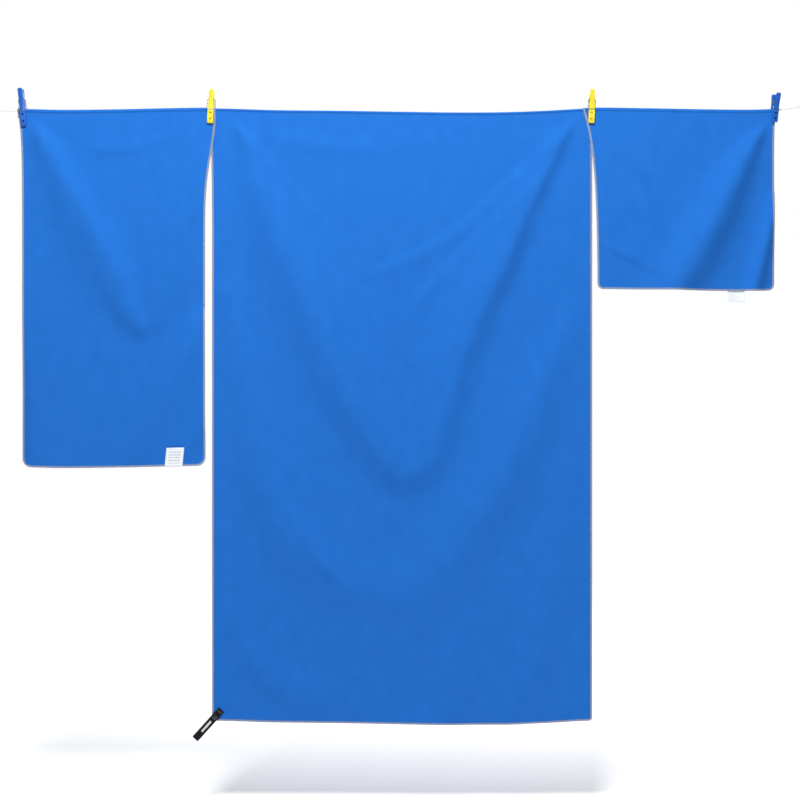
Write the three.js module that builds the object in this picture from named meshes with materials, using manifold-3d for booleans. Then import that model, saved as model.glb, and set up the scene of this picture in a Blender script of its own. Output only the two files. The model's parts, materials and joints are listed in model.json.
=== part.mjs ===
// Three quick dry towels pegged side by side on a taut line.
//
// Millimetres, +Z up. +X runs along the line to the viewer's right and -Y is the front of the towels.
// The origin is on the line's axis, halfway between its two tied ends.
import * as THREE from 'three';
import { mergeVertices } from 'three/addons/utils/BufferGeometryUtils.js';
import Module from 'manifold-3d';

const wasm = await Module();
wasm.setup();

// ---------------------------------------------------------------- driving dimensions

const gap = 0.3;                  // clearance left between pieces that touch
const wrapEase = 0.05;            // how much looser a towel lies round the line than the one beneath it
const through = 60;               // long enough to cut right through a peg
const degree = Math.PI / 180;

const lineDiameter = 2.8;
const lineSides = 8;
const lineSteps = 54;
const lineEndReach = 72;          // from the outermost peg to the knot
const knotLength = 14;
const knotDiameter = 8;
const loopDiameter = 26;

const clothThickness = 0.8;
const edgingThickness = 1.2;      // overlocked yarn round the raw edge
const edgingWidth = 4;
const hemDepth = 15;              // how far each towel is folded over behind the line
const bandDepth = 120;            // the pegged top band, which stays still
const swingGap = 0.6;             // opening between the still band and the swinging drop
const foldFade = 80;              // the folds reach their full height this far below the band

const sideGapLeft = 14.5;         // between the medium and the large towel, below the pegs
const sideGapRight = 11.7;        // between the large and the small towel, below the pegs
const largeMiddle = 4.4;

// pull is how far a peg draws the top corner outwards; it fades as exp(-(depth / reach)^power).
// Each fold is a crest along a line that runs down from the left, round and up to the right. Its points
// are [share of the width, share of the drop, height, half width above, half width below].
const sizes = {
  large: {
    width: 798, drop: 1283, cornerRadius: 6, columns: 14, rows: 20, layer: 0,
    left: { pull: 8.4, reach: 60, power: 1 }, right: { pull: 0.8, reach: 60, power: 1 },
    folds: [
      [[0.012, 0.004, 1, 10, 8], [0.063, 0.021, 4, 14, 12], [0.131, 0.128, 14, 30, 40],
       [0.205, 0.239, 22, 60, 54], [0.273, 0.34, 26, 68, 58], [0.352, 0.452, 26, 66, 56],
       [0.421, 0.527, 23, 60, 48], [0.473, 0.573, 19, 58, 44], [0.513, 0.586, 16, 56, 42],
       [0.563, 0.566, 15, 56, 40], [0.602, 0.507, 16, 58, 38], [0.647, 0.409, 17, 62, 34],
       [0.71, 0.314, 18, 66, 32], [0.763, 0.249, 18, 62, 29], [0.816, 0.169, 14, 50, 24],
       [0.871, 0.105, 10, 34, 18], [0.942, 0.025, 5, 15, 11], [0.985, 0.006, 1, 10, 8]],
      [[0.045, 0.3, 3, 30, 34], [0.105, 0.488, 12, 42, 50], [0.142, 0.602, 17, 50, 54],
       [0.192, 0.684, 18, 52, 54], [0.263, 0.736, 15, 50, 56], [0.35, 0.769, 12, 52, 60],
       [0.429, 0.782, 10, 56, 64], [0.508, 0.786, 9, 60, 66], [0.568, 0.776, 10, 58, 64],
       [0.616, 0.736, 13, 56, 62], [0.7, 0.655, 16, 54, 60], [0.8, 0.55, 16, 52, 56],
       [0.876, 0.439, 12, 46, 48], [0.96, 0.32, 3, 30, 30]],
      [[0.03, 0.78, 0, 20, 20], [0.08, 0.87, 8, 30, 28], [0.16, 0.935, 9, 36, 28], [0.3, 0.97, 6, 40, 28],
       [0.42, 0.985, 0, 40, 26]],
      [[0.39, 0.27, 0, 9, 22], [0.495, 0.245, 2.6, 10, 24], [0.626, 0.201, 3, 10, 24],
       [0.76, 0.128, 2.4, 10, 20], [0.915, 0.04, 0.5, 8, 12]],
      [[0.48, 0.357, 0, 9, 22], [0.574, 0.283, 2.6, 10, 24], [0.705, 0.201, 2.2, 10, 22],
       [0.863, 0.103, 0.5, 8, 12]],
      [[0.047, 0.016, 0.5, 8, 10], [0.152, 0.087, 2.4, 10, 18], [0.258, 0.16, 2.8, 11, 22],
       [0.35, 0.226, 0, 11, 22]],
      [[0.19, 0.64, 0, 14, 14], [0.245, 0.69, 5, 15, 17], [0.31, 0.75, 6, 15, 17],
       [0.385, 0.795, 0, 14, 14]],
      [[0.07, 0.03, 0, 18, 16], [0.25, 0.055, 2.2, 22, 18], [0.45, 0.06, 1.6, 24, 20],
       [0.62, 0.045, 0, 18, 16]],
      [[0.42, 1.0, 2, 30, 30], [0.62, 0.99, 6, 34, 30], [0.64, 0.9, 5, 34, 30], [0.65, 0.82, 0, 34, 30]],
      [[0.78, 1.0, 4, 30, 30], [0.85, 0.9, 6, 34, 34], [0.9, 0.76, 4, 34, 34], [0.93, 0.62, 0, 30, 30]],
    ],
  },
  medium: {
    width: 384, drop: 748, cornerRadius: 18, columns: 8, rows: 14, layer: 1,
    left: { pull: 10, reach: 45, power: 1 }, right: { pull: 22.5, reach: 120, power: 2.2 },
    folds: [
      [[0.02, 0.01, 1, 8, 6], [0.053, 0.029, 4, 11, 9], [0.151, 0.108, 12, 20, 34],
       [0.326, 0.271, 18, 26, 56], [0.479, 0.417, 18, 30, 54], [0.578, 0.543, 14, 32, 36],
       [0.64, 0.6, 10, 32, 26], [0.7, 0.58, 8, 30, 30], [0.75, 0.48, 10, 26, 44], [0.82, 0.35, 11, 22, 46],
       [0.905, 0.22, 9, 18, 34], [0.97, 0.12, 4, 10, 16], [1.01, 0.05, 1, 8, 8]],
      [[0.6, 0.99, 3, 22, 34], [0.67, 0.92, 8, 22, 40], [0.76, 0.81, 12, 22, 42], [0.87, 0.69, 12, 22, 36],
       [0.97, 0.58, 6, 18, 24]],
      [[0.0, 0.6, -1, 12, 12], [0.0, 0.75, -5, 14, 14], [0.0, 1.0, -5, 14, 14]],
      [[0.95, 1.02, -7, 28, 28], [1.03, 0.93, -9, 30, 30]],
      [[0.17, 0.79, 0, 18, 14], [0.33, 0.7, 2.6, 20, 14], [0.48, 0.64, 0, 18, 14]],
      [[0.24, 0.055, 0, 14, 12], [0.48, 0.11, 2.2, 18, 13], [0.72, 0.09, 1.8, 16, 12],
       [0.88, 0.05, 0, 12, 10]],
    ],
  },
  small: {
    width: 370, drop: 377, cornerRadius: 12, columns: 9, rows: 8, layer: 1,
    left: { pull: 31, reach: 95, power: 1 }, right: { pull: 4.5, reach: 25, power: 1 },
    folds: [
      [[0.41, 1.06, 19, 42, 38], [0.465, 0.947, 23, 44, 40], [0.532, 0.836, 26, 46, 42],
       [0.655, 0.613, 26, 44, 40], [0.78, 0.362, 20, 35, 32], [0.88, 0.18, 11, 19, 18],
       [0.949, 0.084, 4, 10, 9], [0.99, 0.03, 1, 8, 6]],
      [[0.87, 1.05, 12, 18, 18], [0.945, 0.752, 13, 19, 16], [1.01, 0.48, 7, 15, 14]],
      [[0.01, 0.74, 1, 16, 8], [0.18, 0.82, 4, 18, 9], [0.35, 0.9, 1, 16, 9]],
      [[0.08, 0.12, 0, 14, 12], [0.22, 0.36, 2.2, 16, 14], [0.3, 0.62, 2, 18, 14], [0.33, 0.82, 0, 16, 14]],
    ],
  },
};

const mediumLabel = { width: 37, height: 40, fromLeftEdge: 299, slant: 0.11, thickness: 0.4 };
const labelOverhang = 0.8;         // the medium label's seam lies just under the edge
const labelLift = 0.8;             // a label bulges this far off the edging
const smallLabel = { width: 34, height: 32, fromRightEdge: 97, slant: 0, thickness: 0.4, showing: 22 };

const strap = {
  length: 82, width: 15, thickness: 1.2, angle: 48, tipLeftOfCorner: 33.8, tipBelowHem: 36,
  flapLength: 68, snapAt: 60, foldGap: 2,
  bartackAt: 74, bartackWidth: 2.2, bartackLength: 11.5, bartackThickness: 0.6,
};
const snap = {
  capRadius: 5.8, capHeight: 1.6, discRadius: 4.6, discThickness: 0.5, knobRadius: 1.8, knobHeight: 1.3,
};

const pegSizes = {
  wireDiameter: 1.4, coilDiameter: 5.8, coilTurns: 3, thickness: 5.5, handleThickness: 2.9, handleSpread: 6.5,
  jawShare: 0.41, pivotShare: 0.27, notchRadius: 5.2, seatRadius: 4.2,
  windowWidth: 5, windowHeight: 3.6, windowDepth: 2.6, grooveDepth: 0.8, seatOffset: 1.65,
};
const windowShares = [0.25, 0.7];  // how far down the jaw the windows lie
const blue = { width: 10.8, topWidth: 9.6, topRound: 4, plastic: 'bluePlastic' };
const yellow = { width: 12.6, topWidth: 8.6, topRound: 1.6, plastic: 'yellowPlastic' };

// ---------------------------------------------------------------- colours

function finish(color, roughness, metalness = 0) {
  return new THREE.MeshStandardMaterial({ color, roughness, metalness });
}
const finishes = {
  cloth: finish(0x2873cf, 0.95),
  edging: finish(0xb9bfc8, 0.9),
  line: finish(0xf2f1e4, 0.8),
  label: finish(0xf2f5fa, 0.8),
  webbing: finish(0x1b1c1f, 0.85),
  thread: finish(0xe6e8ea, 0.8),
  snap: finish(0x2a2b2e, 0.4, 0.6),
  bluePlastic: finish(0x3b7fdc, 0.45),
  yellowPlastic: finish(0xf0dc38, 0.45),
  wire: finish(0xb4b6b8, 0.35, 1),
};

// ---------------------------------------------------------------- solids and the scene group

const group = new THREE.Group();

function toSolid(geometry) {
  const bare = geometry.clone();
  for (const name of Object.keys(bare.attributes)) {
    if (name !== 'position') bare.deleteAttribute(name);
  }
  const merged = mergeVertices(bare, 1e-4);
  return new wasm.Manifold(new wasm.Mesh({
    numProp: 3,
    vertProperties: new Float32Array(merged.attributes.position.array),
    triVerts: new Uint32Array(merged.index.array),
  }));
}

function toGeometry(solid) {
  const { vertProperties, triVerts } = solid.getMesh();
  const geometry = new THREE.BufferGeometry();
  geometry.setAttribute('position', new THREE.BufferAttribute(new Float32Array(vertProperties), 3));
  geometry.setIndex(new THREE.BufferAttribute(new Uint32Array(triVerts), 1));
  geometry.computeVertexNormals();
  return geometry;
}

function addPiece(name, geometry, material, parent = group) {
  const mesh = new THREE.Mesh(geometry, material);
  mesh.name = name;
  parent.add(mesh);
  return mesh;
}

// Splits the squares of one side of a box along their other diagonal.
function turnDiagonals(geometry, { start, count }) {
  const corners = geometry.index;
  for (let n = start; n < start + count; n += 6) {
    const [a, b, d, c] = [0, 1, 2, 4].map((k) => corners.getX(n + k));
    [a, b, c, a, c, d].forEach((corner, k) => corners.setX(n + k, corner));
  }
}

// A unit box whose corners and divisions are moved one by one: place(i, j, k) gives the point for
// column i, side j (0 or 1) and row k. Its front and back are split along the same diagonals, so that the
// wall keeps its thickness where the sheet is twisted.
function bentBox(columns, rows, place) {
  const geometry = new THREE.BoxGeometry(1, 1, 1, columns, 1, rows);
  turnDiagonals(geometry, geometry.groups[3]);
  const points = geometry.attributes.position;
  for (let n = 0; n < points.count; n += 1) {
    const i = Math.round((points.getX(n) + 0.5) * columns);
    const j = Math.round(points.getY(n) + 0.5);
    const k = Math.round((points.getZ(n) + 0.5) * rows);
    const point = place(i, j, k);
    points.setXYZ(n, point.x, point.y, point.z);
  }
  return toGeometry(toSolid(geometry));
}

function steps(from, to, count) {
  return Array.from({ length: count + 1 }, (_, n) => from + (to - from) * n / count);
}

// ---------------------------------------------------------------- places along the line

// An outer towel lies over an inner one where the two share a peg, so it wraps the line one layer wider.
const layerStep = edgingThickness + gap;
const innermost = { plane: (gap + edgingThickness) / 2, wrap: lineDiameter / 2 + gap + edgingThickness / 2 };
const filletRadius = 3;

function makeTowel(name, middle) {
  const size = sizes[name];
  const plane = innermost.plane + size.layer * layerStep;
  const wrap = innermost.wrap + size.layer * layerStep + wrapEase;
  const fillet = filletRadius - size.layer * layerStep;
  const fall = Math.sqrt((wrap + fillet) ** 2 - (plane + fillet) ** 2);
  const lean = Math.atan2(fall, plane + fillet);
  return { name, ...size, middle, plane, wrap, fillet, fall, lean };
}

const large = makeTowel('large', largeMiddle);
const mediumMiddle = edgeX(large, 'left', Infinity) - sideGapLeft - sizes.medium.width / 2;
const smallMiddle = edgeX(large, 'right', Infinity) + sideGapRight + sizes.small.width / 2;
const medium = makeTowel('medium', mediumMiddle);
const small = makeTowel('small', smallMiddle);

function edgeX(towel, side, depth) {
  const sign = side === 'left' ? -1 : 1;
  const { pull, reach, power } = towel[side];
  return towel.middle + sign * (towel.width / 2 + pull * Math.exp(-((depth / reach) ** power)));
}

const pegs = [
  { name: 'peg_1', x: edgeX(medium, 'left', 0) + 11, length: 80, lean: -5.3, turn: 0, ...blue },
  { name: 'peg_2', x: edgeX(large, 'left', 0) + 6, length: 71, lean: 2.9, turn: 0, ...yellow },
  { name: 'peg_3', x: edgeX(large, 'right', 0) - 2, length: 71, lean: 2.5, turn: 0, ...yellow },
  { name: 'peg_4', x: edgeX(small, 'right', 0) - 3, length: 62, lean: 6.8, turn: 12, ...blue },
];
const [firstPeg, secondPeg, thirdPeg, lastPeg] = pegs.map((peg) => peg.x);

// The line's route: it dips under each towel and rises to its two ends.
const lineRoute = [
  [firstPeg - lineEndReach, 6],
  [firstPeg - lineEndReach / 2, 5],
  [firstPeg, 4.5],
  [medium.middle - 110, 2.5],
  [medium.middle, 3.5],
  [secondPeg, 7],
  [large.middle - 270, 3.5],
  [large.middle - 130, 2],
  [0, 0],
  [large.middle + 110, -1.5],
  [large.middle + 210, -1],
  [large.middle + 300, 2],
  [thirdPeg, 7],
  [small.middle - 90, 6],
  [small.middle + 50, 3.5],
  [lastPeg - 40, 3],
  [lastPeg, 5],
  [lastPeg + lineEndReach / 2, 10.5],
  [lastPeg + lineEndReach, 16.5],
].map(([x, z]) => new THREE.Vector3(x, 0, z));
const lineCurve = new THREE.CatmullRomCurve3(lineRoute, false, 'centripetal');
const lineSamples = lineCurve.getPoints(400);

function lineHeight(x) {
  const after = Math.max(1, lineSamples.findIndex((point) => point.x >= x));
  const [a, b] = [lineSamples[after - 1], lineSamples[after]];
  return a.z + (b.z - a.z) * (x - a.x) / (b.x - a.x);
}

// ---------------------------------------------------------------- how a towel hangs

// The folded section, followed by its arc length s from the hem behind: up the back, through a fillet,
// over the line, through a fillet and down the front. Gives the point, its outward normal and its depth.
function section(towel, s) {
  const { plane, wrap, fillet, fall, lean } = towel;
  const back = hemDepth - fall;
  const bend = fillet * lean;
  const over = wrap * (Math.PI + 2 * lean);
  if (s <= back) return { y: plane, z: -hemDepth + s, ny: 1, nz: 0, depth: 0 };
  if (s <= back + bend) {
    const a = (s - back) / fillet;
    return {
      y: plane + fillet - fillet * Math.cos(a), z: -fall + fillet * Math.sin(a),
      ny: Math.cos(a), nz: -Math.sin(a), depth: 0,
    };
  }
  if (s <= back + bend + over) {
    const a = -lean + (s - back - bend) / wrap;
    return { y: wrap * Math.cos(a), z: wrap * Math.sin(a), ny: Math.cos(a), nz: Math.sin(a), depth: 0 };
  }
  if (s <= back + 2 * bend + over) {
    const a = lean - (s - back - bend - over) / fillet;
    const z = -fall + fillet * Math.sin(a);
    return { y: -(plane + fillet - fillet * Math.cos(a)), z, ny: -Math.cos(a), nz: -Math.sin(a), depth: -z };
  }
  const depth = fall + s - back - 2 * bend - over;
  return { y: -plane, z: -depth, ny: -1, nz: 0, depth };
}

function arcLengthAt(towel, depth) {
  const { wrap, fillet, fall, lean } = towel;
  return depth - 2 * fall + hemDepth + 2 * fillet * lean + wrap * (Math.PI + 2 * lean);
}

// How far a fold lifts the cloth forward at a place: its height falls off with the square of the distance
// from the fold's line, over one half width on its upper side and another on its lower side.
function foldHeight(towel, fold, x, depth) {
  const rows = fold.map(([across, down, ...rest]) => (
    [towel.middle + (across - 0.5) * towel.width, down * towel.drop, ...rest]));
  let nearest = { apart: Infinity };
  rows.slice(0, -1).forEach((from, n) => {
    const step = rows[n + 1].map((value, k) => value - from[k]);
    const [aside, down] = [x - from[0], depth - from[1]];
    const along = (aside * step[0] + down * step[1]) / (step[0] ** 2 + step[1] ** 2);
    const share = Math.min(1, Math.max(0, along));
    const apart = Math.hypot(aside - share * step[0], down - share * step[1]);
    if (apart < nearest.apart) {
      const below = step[0] * down - step[1] * aside > 0;
      const [, , height, above, under] = from.map((value, k) => value + share * step[k]);
      nearest = { apart, height, reach: below ? under : above };
    }
  });
  return nearest.height * Math.exp(-((nearest.apart / nearest.reach) ** 2));
}

// The folds of a hanging towel, which come in below the still band.
function drape(towel, x, depth) {
  const share = Math.min(1, Math.max(0, (depth - bandDepth - swingGap) / foldFade));
  const fade = share * share * (3 - 2 * share);
  if (fade === 0) {
    return 0;
  }
  return fade * towel.folds.reduce((sum, fold) => sum + foldHeight(towel, fold, x, depth), 0);
}

function hangPoint(towel, x, s, offset) {
  const at = section(towel, s);
  const y = at.y + at.ny * offset - drape(towel, x, at.depth);
  return new THREE.Vector3(x, y, at.z + at.nz * offset + lineHeight(x));
}

// Rows of arc length for the band: closely spaced where the cloth bends over the line.
function bandRows(towel, start, end) {
  const back = hemDepth - towel.fall;
  const bend = towel.fillet * towel.lean;
  const over = towel.wrap * (Math.PI + 2 * towel.lean);
  return [
    start,
    ...steps(back, back + bend, 2),
    ...steps(back + bend, back + bend + over, 7).slice(1),
    ...steps(back + bend + over, back + 2 * bend + over, 2).slice(1),
    ...steps(arcLengthAt(towel, hemDepth), end, 3),
  ];
}

// How far the rounded bottom corner draws the side in, for an outline that is inset all round.
function cornerInset(towel, depth, inset) {
  const radius = towel.cornerRadius - inset;
  const past = depth - (towel.drop - towel.cornerRadius);
  return past > 0 ? radius - Math.sqrt(Math.max(0, radius ** 2 - past ** 2)) : 0;
}

function clothPanel(towel, rows, inset) {
  const half = clothThickness / 2;
  return bentBox(towel.columns, rows.length - 1, (i, j, k) => {
    const { depth } = section(towel, rows[k]);
    const corner = cornerInset(towel, depth, inset);
    const left = edgeX(towel, 'left', depth) + inset + corner;
    const right = edgeX(towel, 'right', depth) - inset - corner;
    return hangPoint(towel, left + (right - left) * i / towel.columns, rows[k], j ? half : -half);
  });
}

// A strip of edging along stations that go round the towel from its left side to its bottom to its right
// side; each station has its outer and inner { x, s }.
function edgingStrip(towel, stations) {
  const half = edgingThickness / 2;
  return bentBox(stations.length - 1, 1, (i, j, k) => {
    const { x, s } = k ? stations[i].inner : stations[i].outer;
    return hangPoint(towel, x, s, j ? -half : half);
  });
}

function sideStation(towel, side, s) {
  const x = edgeX(towel, side, section(towel, s).depth);
  const inwards = side === 'left' ? edgingWidth : -edgingWidth;
  return { outer: { x, s }, inner: { x: x + inwards, s } };
}

function bandEdging(towel, end) {
  const hemCorner = (side) => {
    const x = edgeX(towel, side, 0);
    const inwards = side === 'left' ? edgingWidth : -edgingWidth;
    return { outer: { x, s: 0 }, inner: { x: x + inwards, s: edgingWidth } };
  };
  const rows = bandRows(towel, edgingWidth, end).slice(1);
  const [left, right] = [edgeX(towel, 'left', 0) + edgingWidth, edgeX(towel, 'right', 0) - edgingWidth];
  const hem = steps(right, left, towel.columns).slice(1, -1)
    .map((x) => ({ outer: { x, s: 0 }, inner: { x, s: edgingWidth } }));
  return edgingStrip(towel, [
    ...rows.toReversed().map((s) => sideStation(towel, 'right', s)),
    hemCorner('right'), ...hem, hemCorner('left'),
    ...rows.map((s) => sideStation(towel, 'left', s)),
  ]);
}

function dropEdging(towel, start) {
  const { cornerRadius, drop } = towel;
  const rows = steps(start, arcLengthAt(towel, drop - cornerRadius), towel.rows);
  const bottom = arcLengthAt(towel, drop);
  const corner = (side) => steps(0, Math.PI / 2, 4).slice(1).map((a) => {
    const sign = side === 'left' ? -1 : 1;
    const centre = { x: edgeX(towel, side, drop) - sign * cornerRadius, s: bottom - cornerRadius };
    const point = (r) => ({ x: centre.x + sign * r * Math.cos(a), s: centre.s + r * Math.sin(a) });
    return { outer: point(cornerRadius), inner: point(cornerRadius - edgingWidth) };
  });
  const hem = steps(edgeX(towel, 'left', drop) + cornerRadius, edgeX(towel, 'right', drop) - cornerRadius,
    towel.columns).slice(1, -1)
    .map((x) => ({ outer: { x, s: bottom }, inner: { x, s: bottom - edgingWidth } }));
  return edgingStrip(towel, [
    ...rows.map((s) => sideStation(towel, 'left', s)), ...corner('left'), ...hem,
    ...corner('right').toReversed(), ...rows.toReversed().map((s) => sideStation(towel, 'right', s)),
  ]);
}

function addTowel(towel) {
  const inset = edgingWidth + gap;
  const bandEnd = arcLengthAt(towel, bandDepth);
  const dropStart = bandEnd + swingGap;
  const cornerStart = arcLengthAt(towel, towel.drop - towel.cornerRadius);
  const radius = towel.cornerRadius - inset;
  const cornerRows = steps(0, Math.PI / 2, 3).slice(1).map((a) => cornerStart + radius * Math.sin(a));
  const dropRows = [...steps(dropStart, cornerStart, towel.rows), ...cornerRows];
  const band = clothPanel(towel, bandRows(towel, inset, bandEnd), inset);
  addPiece(`${towel.name}_towel_band`, band, finishes.cloth);
  addPiece(`${towel.name}_towel_drop`, clothPanel(towel, dropRows, inset), finishes.cloth);
  addPiece(`${towel.name}_band_edging`, bandEdging(towel, bandEnd), finishes.edging);
  addPiece(`${towel.name}_drop_edging`, dropEdging(towel, dropStart), finishes.edging);
}

// ---------------------------------------------------------------- care labels

// A slanted tape that follows the towel's surface, between two depths, at a height above its middle.
function labelGeometry(towel, label, middle, top, bottom, height) {
  const half = label.thickness / 2;
  return bentBox(4, 4, (i, j, k) => {
    const depth = top + (bottom - top) * k / 4;
    const x = middle + label.width * (i / 4 - 0.5) + label.slant * (bottom - depth);
    const s = arcLengthAt(towel, Math.min(depth, towel.drop));
    const point = hangPoint(towel, x, s, height + (j ? half : -half));
    point.z -= Math.max(0, depth - towel.drop);
    return point;
  });
}

function addLabels() {
  const clear = edgingThickness / 2 + labelLift;
  const mediumX = edgeX(medium, 'left', Infinity) + mediumLabel.fromLeftEdge + mediumLabel.width / 2;
  const mediumBottom = medium.drop + labelOverhang;
  addPiece('medium_care_label', labelGeometry(medium, mediumLabel, mediumX, mediumBottom - mediumLabel.height,
    mediumBottom, clear + mediumLabel.thickness / 2), finishes.label);
  const smallX = edgeX(small, 'right', Infinity) - smallLabel.fromRightEdge + smallLabel.width / 2;
  const smallBottom = small.drop + smallLabel.showing;
  addPiece('small_care_label', labelGeometry(small, smallLabel, smallX, smallBottom - smallLabel.height,
    smallBottom, -clear - smallLabel.thickness / 2), finishes.label);
}

// ---------------------------------------------------------------- snap hanging strap

// An outline drawn in the strap's side view, length against height above the cloth, and extruded across it.
function acrossStrap(shape, width) {
  const geometry = new THREE.ExtrudeGeometry(shape, { depth: width, bevelEnabled: false, curveSegments: 6 });
  geometry.translate(0, 0, -width / 2);
  return geometry;
}

function disc(radius, thickness, length, height) {
  const geometry = new THREE.CylinderGeometry(radius, radius, thickness, 24);
  geometry.translate(length, -height - thickness / 2, 0);
  return geometry;
}

// The foremost point of the cloth panel within the strap's reach. The panel is flat between its columns.
function frontUnderStrap() {
  const corner = edgeX(large, 'left', large.drop);
  const halfWidth = strap.width / 2;
  const [cos, sin] = [Math.cos(strap.angle * degree), Math.sin(strap.angle * degree)];
  const inward = strap.length * cos + halfWidth * sin - strap.tipLeftOfCorner;
  const upward = strap.length * sin + halfWidth * cos - strap.tipBelowHem;
  const column = large.width / large.columns;
  const frontAt = (x, depth) => hangPoint(large, x, arcLengthAt(large, depth), edgingThickness / 2).y;
  const across = steps(0, inward / column, 8);
  const down = steps(large.drop - upward - large.drop / large.rows, large.drop, 8);
  return Math.min(...across.flatMap((place) => down.map((depth) => {
    const before = Math.floor(place);
    const [from, to] = [before, before + 1].map((n) => frontAt(corner + n * column, depth));
    return from + (place - before) * (to - from);
  })));
}

function addStrap() {
  const holder = new THREE.Group();
  const corner = edgeX(large, 'left', large.drop);
  const tipX = corner - strap.tipLeftOfCorner;
  const tipZ = -large.drop - strap.tipBelowHem + lineHeight(corner);
  holder.position.set(tipX, frontUnderStrap(), tipZ);
  holder.rotation.y = -strap.angle * degree;
  group.add(holder);

  const postBack = gap;
  const back = postBack + snap.discThickness + gap;
  const backTop = back + strap.thickness;
  const flap = backTop + strap.foldGap;
  const foldMiddle = backTop + strap.foldGap / 2;
  const outer = foldMiddle - back;
  const inner = foldMiddle - backTop;

  // In the side view the height above the cloth is drawn downwards, towards -Y.
  const backShape = new THREE.Shape();
  backShape.moveTo(strap.length - outer, -back);
  backShape.lineTo(strap.length - outer, -backTop);
  backShape.lineTo(0, -backTop);
  backShape.absarc(0, -foldMiddle, inner, Math.PI / 2, Math.PI, false);
  backShape.absarc(0, -foldMiddle, outer, Math.PI, Math.PI / 2, true);
  addPiece('strap_back', toGeometry(toSolid(acrossStrap(backShape, strap.width))), finishes.webbing, holder);

  const flapShape = new THREE.Shape();
  flapShape.moveTo(0, -flap);
  flapShape.lineTo(strap.flapLength, -flap);
  const tipRadius = strap.thickness / 2;
  flapShape.absarc(strap.flapLength, -flap - tipRadius, tipRadius, Math.PI / 2, -Math.PI / 2, true);
  flapShape.lineTo(0, -flap - strap.thickness);
  addPiece('strap_flap', toGeometry(toSolid(acrossStrap(flapShape, strap.width))), finishes.webbing, holder);

  const bartack = new THREE.BoxGeometry(strap.bartackWidth, strap.bartackThickness, strap.bartackLength);
  bartack.translate(strap.bartackAt, -backTop - gap - strap.bartackThickness / 2, 0);
  addPiece('strap_bartack', bartack, finishes.thread, holder);

  const snapAt = strap.snapAt;
  const studFoot = backTop + gap;
  const stud = toSolid(disc(snap.discRadius, snap.discThickness, snapAt, studFoot))
    .add(toSolid(disc(snap.knobRadius, snap.discThickness + snap.knobHeight, snapAt, studFoot)));
  const socketHeight = flap - gap - studFoot - snap.discThickness - gap;
  const socketBase = studFoot + snap.discThickness + gap;
  const socket = toSolid(disc(snap.discRadius, socketHeight, snapAt, socketBase))
    .subtract(toSolid(disc(snap.knobRadius + gap, socketHeight * 3, snapAt, socketBase - socketHeight)));
  addPiece('snap_post', disc(snap.discRadius, snap.discThickness, snapAt, postBack), finishes.snap, holder);
  addPiece('snap_stud', toGeometry(stud.intersect(toSolid(
    disc(snap.discRadius * 2, flap - gap - studFoot, snapAt, studFoot)))), finishes.snap, holder);
  addPiece('snap_socket', toGeometry(socket), finishes.snap, holder);

  // The cap's profile, as shares of its radius and height.
  const capProfile = [[0, 0], [1, 0], [1, 0.31], [0.86, 0.75], [0.5, 1], [0, 1]];
  const cap = new THREE.LatheGeometry(capProfile.map(([out, up]) => (
    new THREE.Vector2(out * snap.capRadius, up * snap.capHeight))), 24);
  cap.rotateX(Math.PI);
  cap.translate(snapAt, -flap - strap.thickness - gap, 0);
  addPiece('snap_cap', toGeometry(toSolid(cap)), finishes.snap, holder);
}

// ---------------------------------------------------------------- pegs

// How far a turn or a lean carries the corner of a jaw.
function cornerShift(peg, angle) {
  return peg.width / 2 * Math.sin(Math.abs(angle) * degree);
}

// Half the thickness of the cloth in the jaws, plus the clearance to it. A turned peg stands wider open,
// and more so where it leans as well.
function jawFaceOf(peg) {
  const tipShift = pegSizes.jawShare * peg.length * Math.sin(Math.abs(peg.lean) * degree);
  const turned = cornerShift(peg, peg.turn) + tipShift * Math.sin(Math.abs(peg.turn) * degree);
  return innermost.plane + layerStep + edgingThickness / 2 + gap + turned;
}

function cylinderAcross(radius, y, z) {
  const geometry = new THREE.CylinderGeometry(radius, radius, through, 24);
  geometry.rotateZ(Math.PI / 2);
  geometry.translate(0, y, z);
  return toSolid(geometry);
}

function block(width, depth, height, x, y, z) {
  const geometry = new THREE.BoxGeometry(width, depth, height);
  geometry.translate(x, y, z);
  return toSolid(geometry);
}

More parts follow.
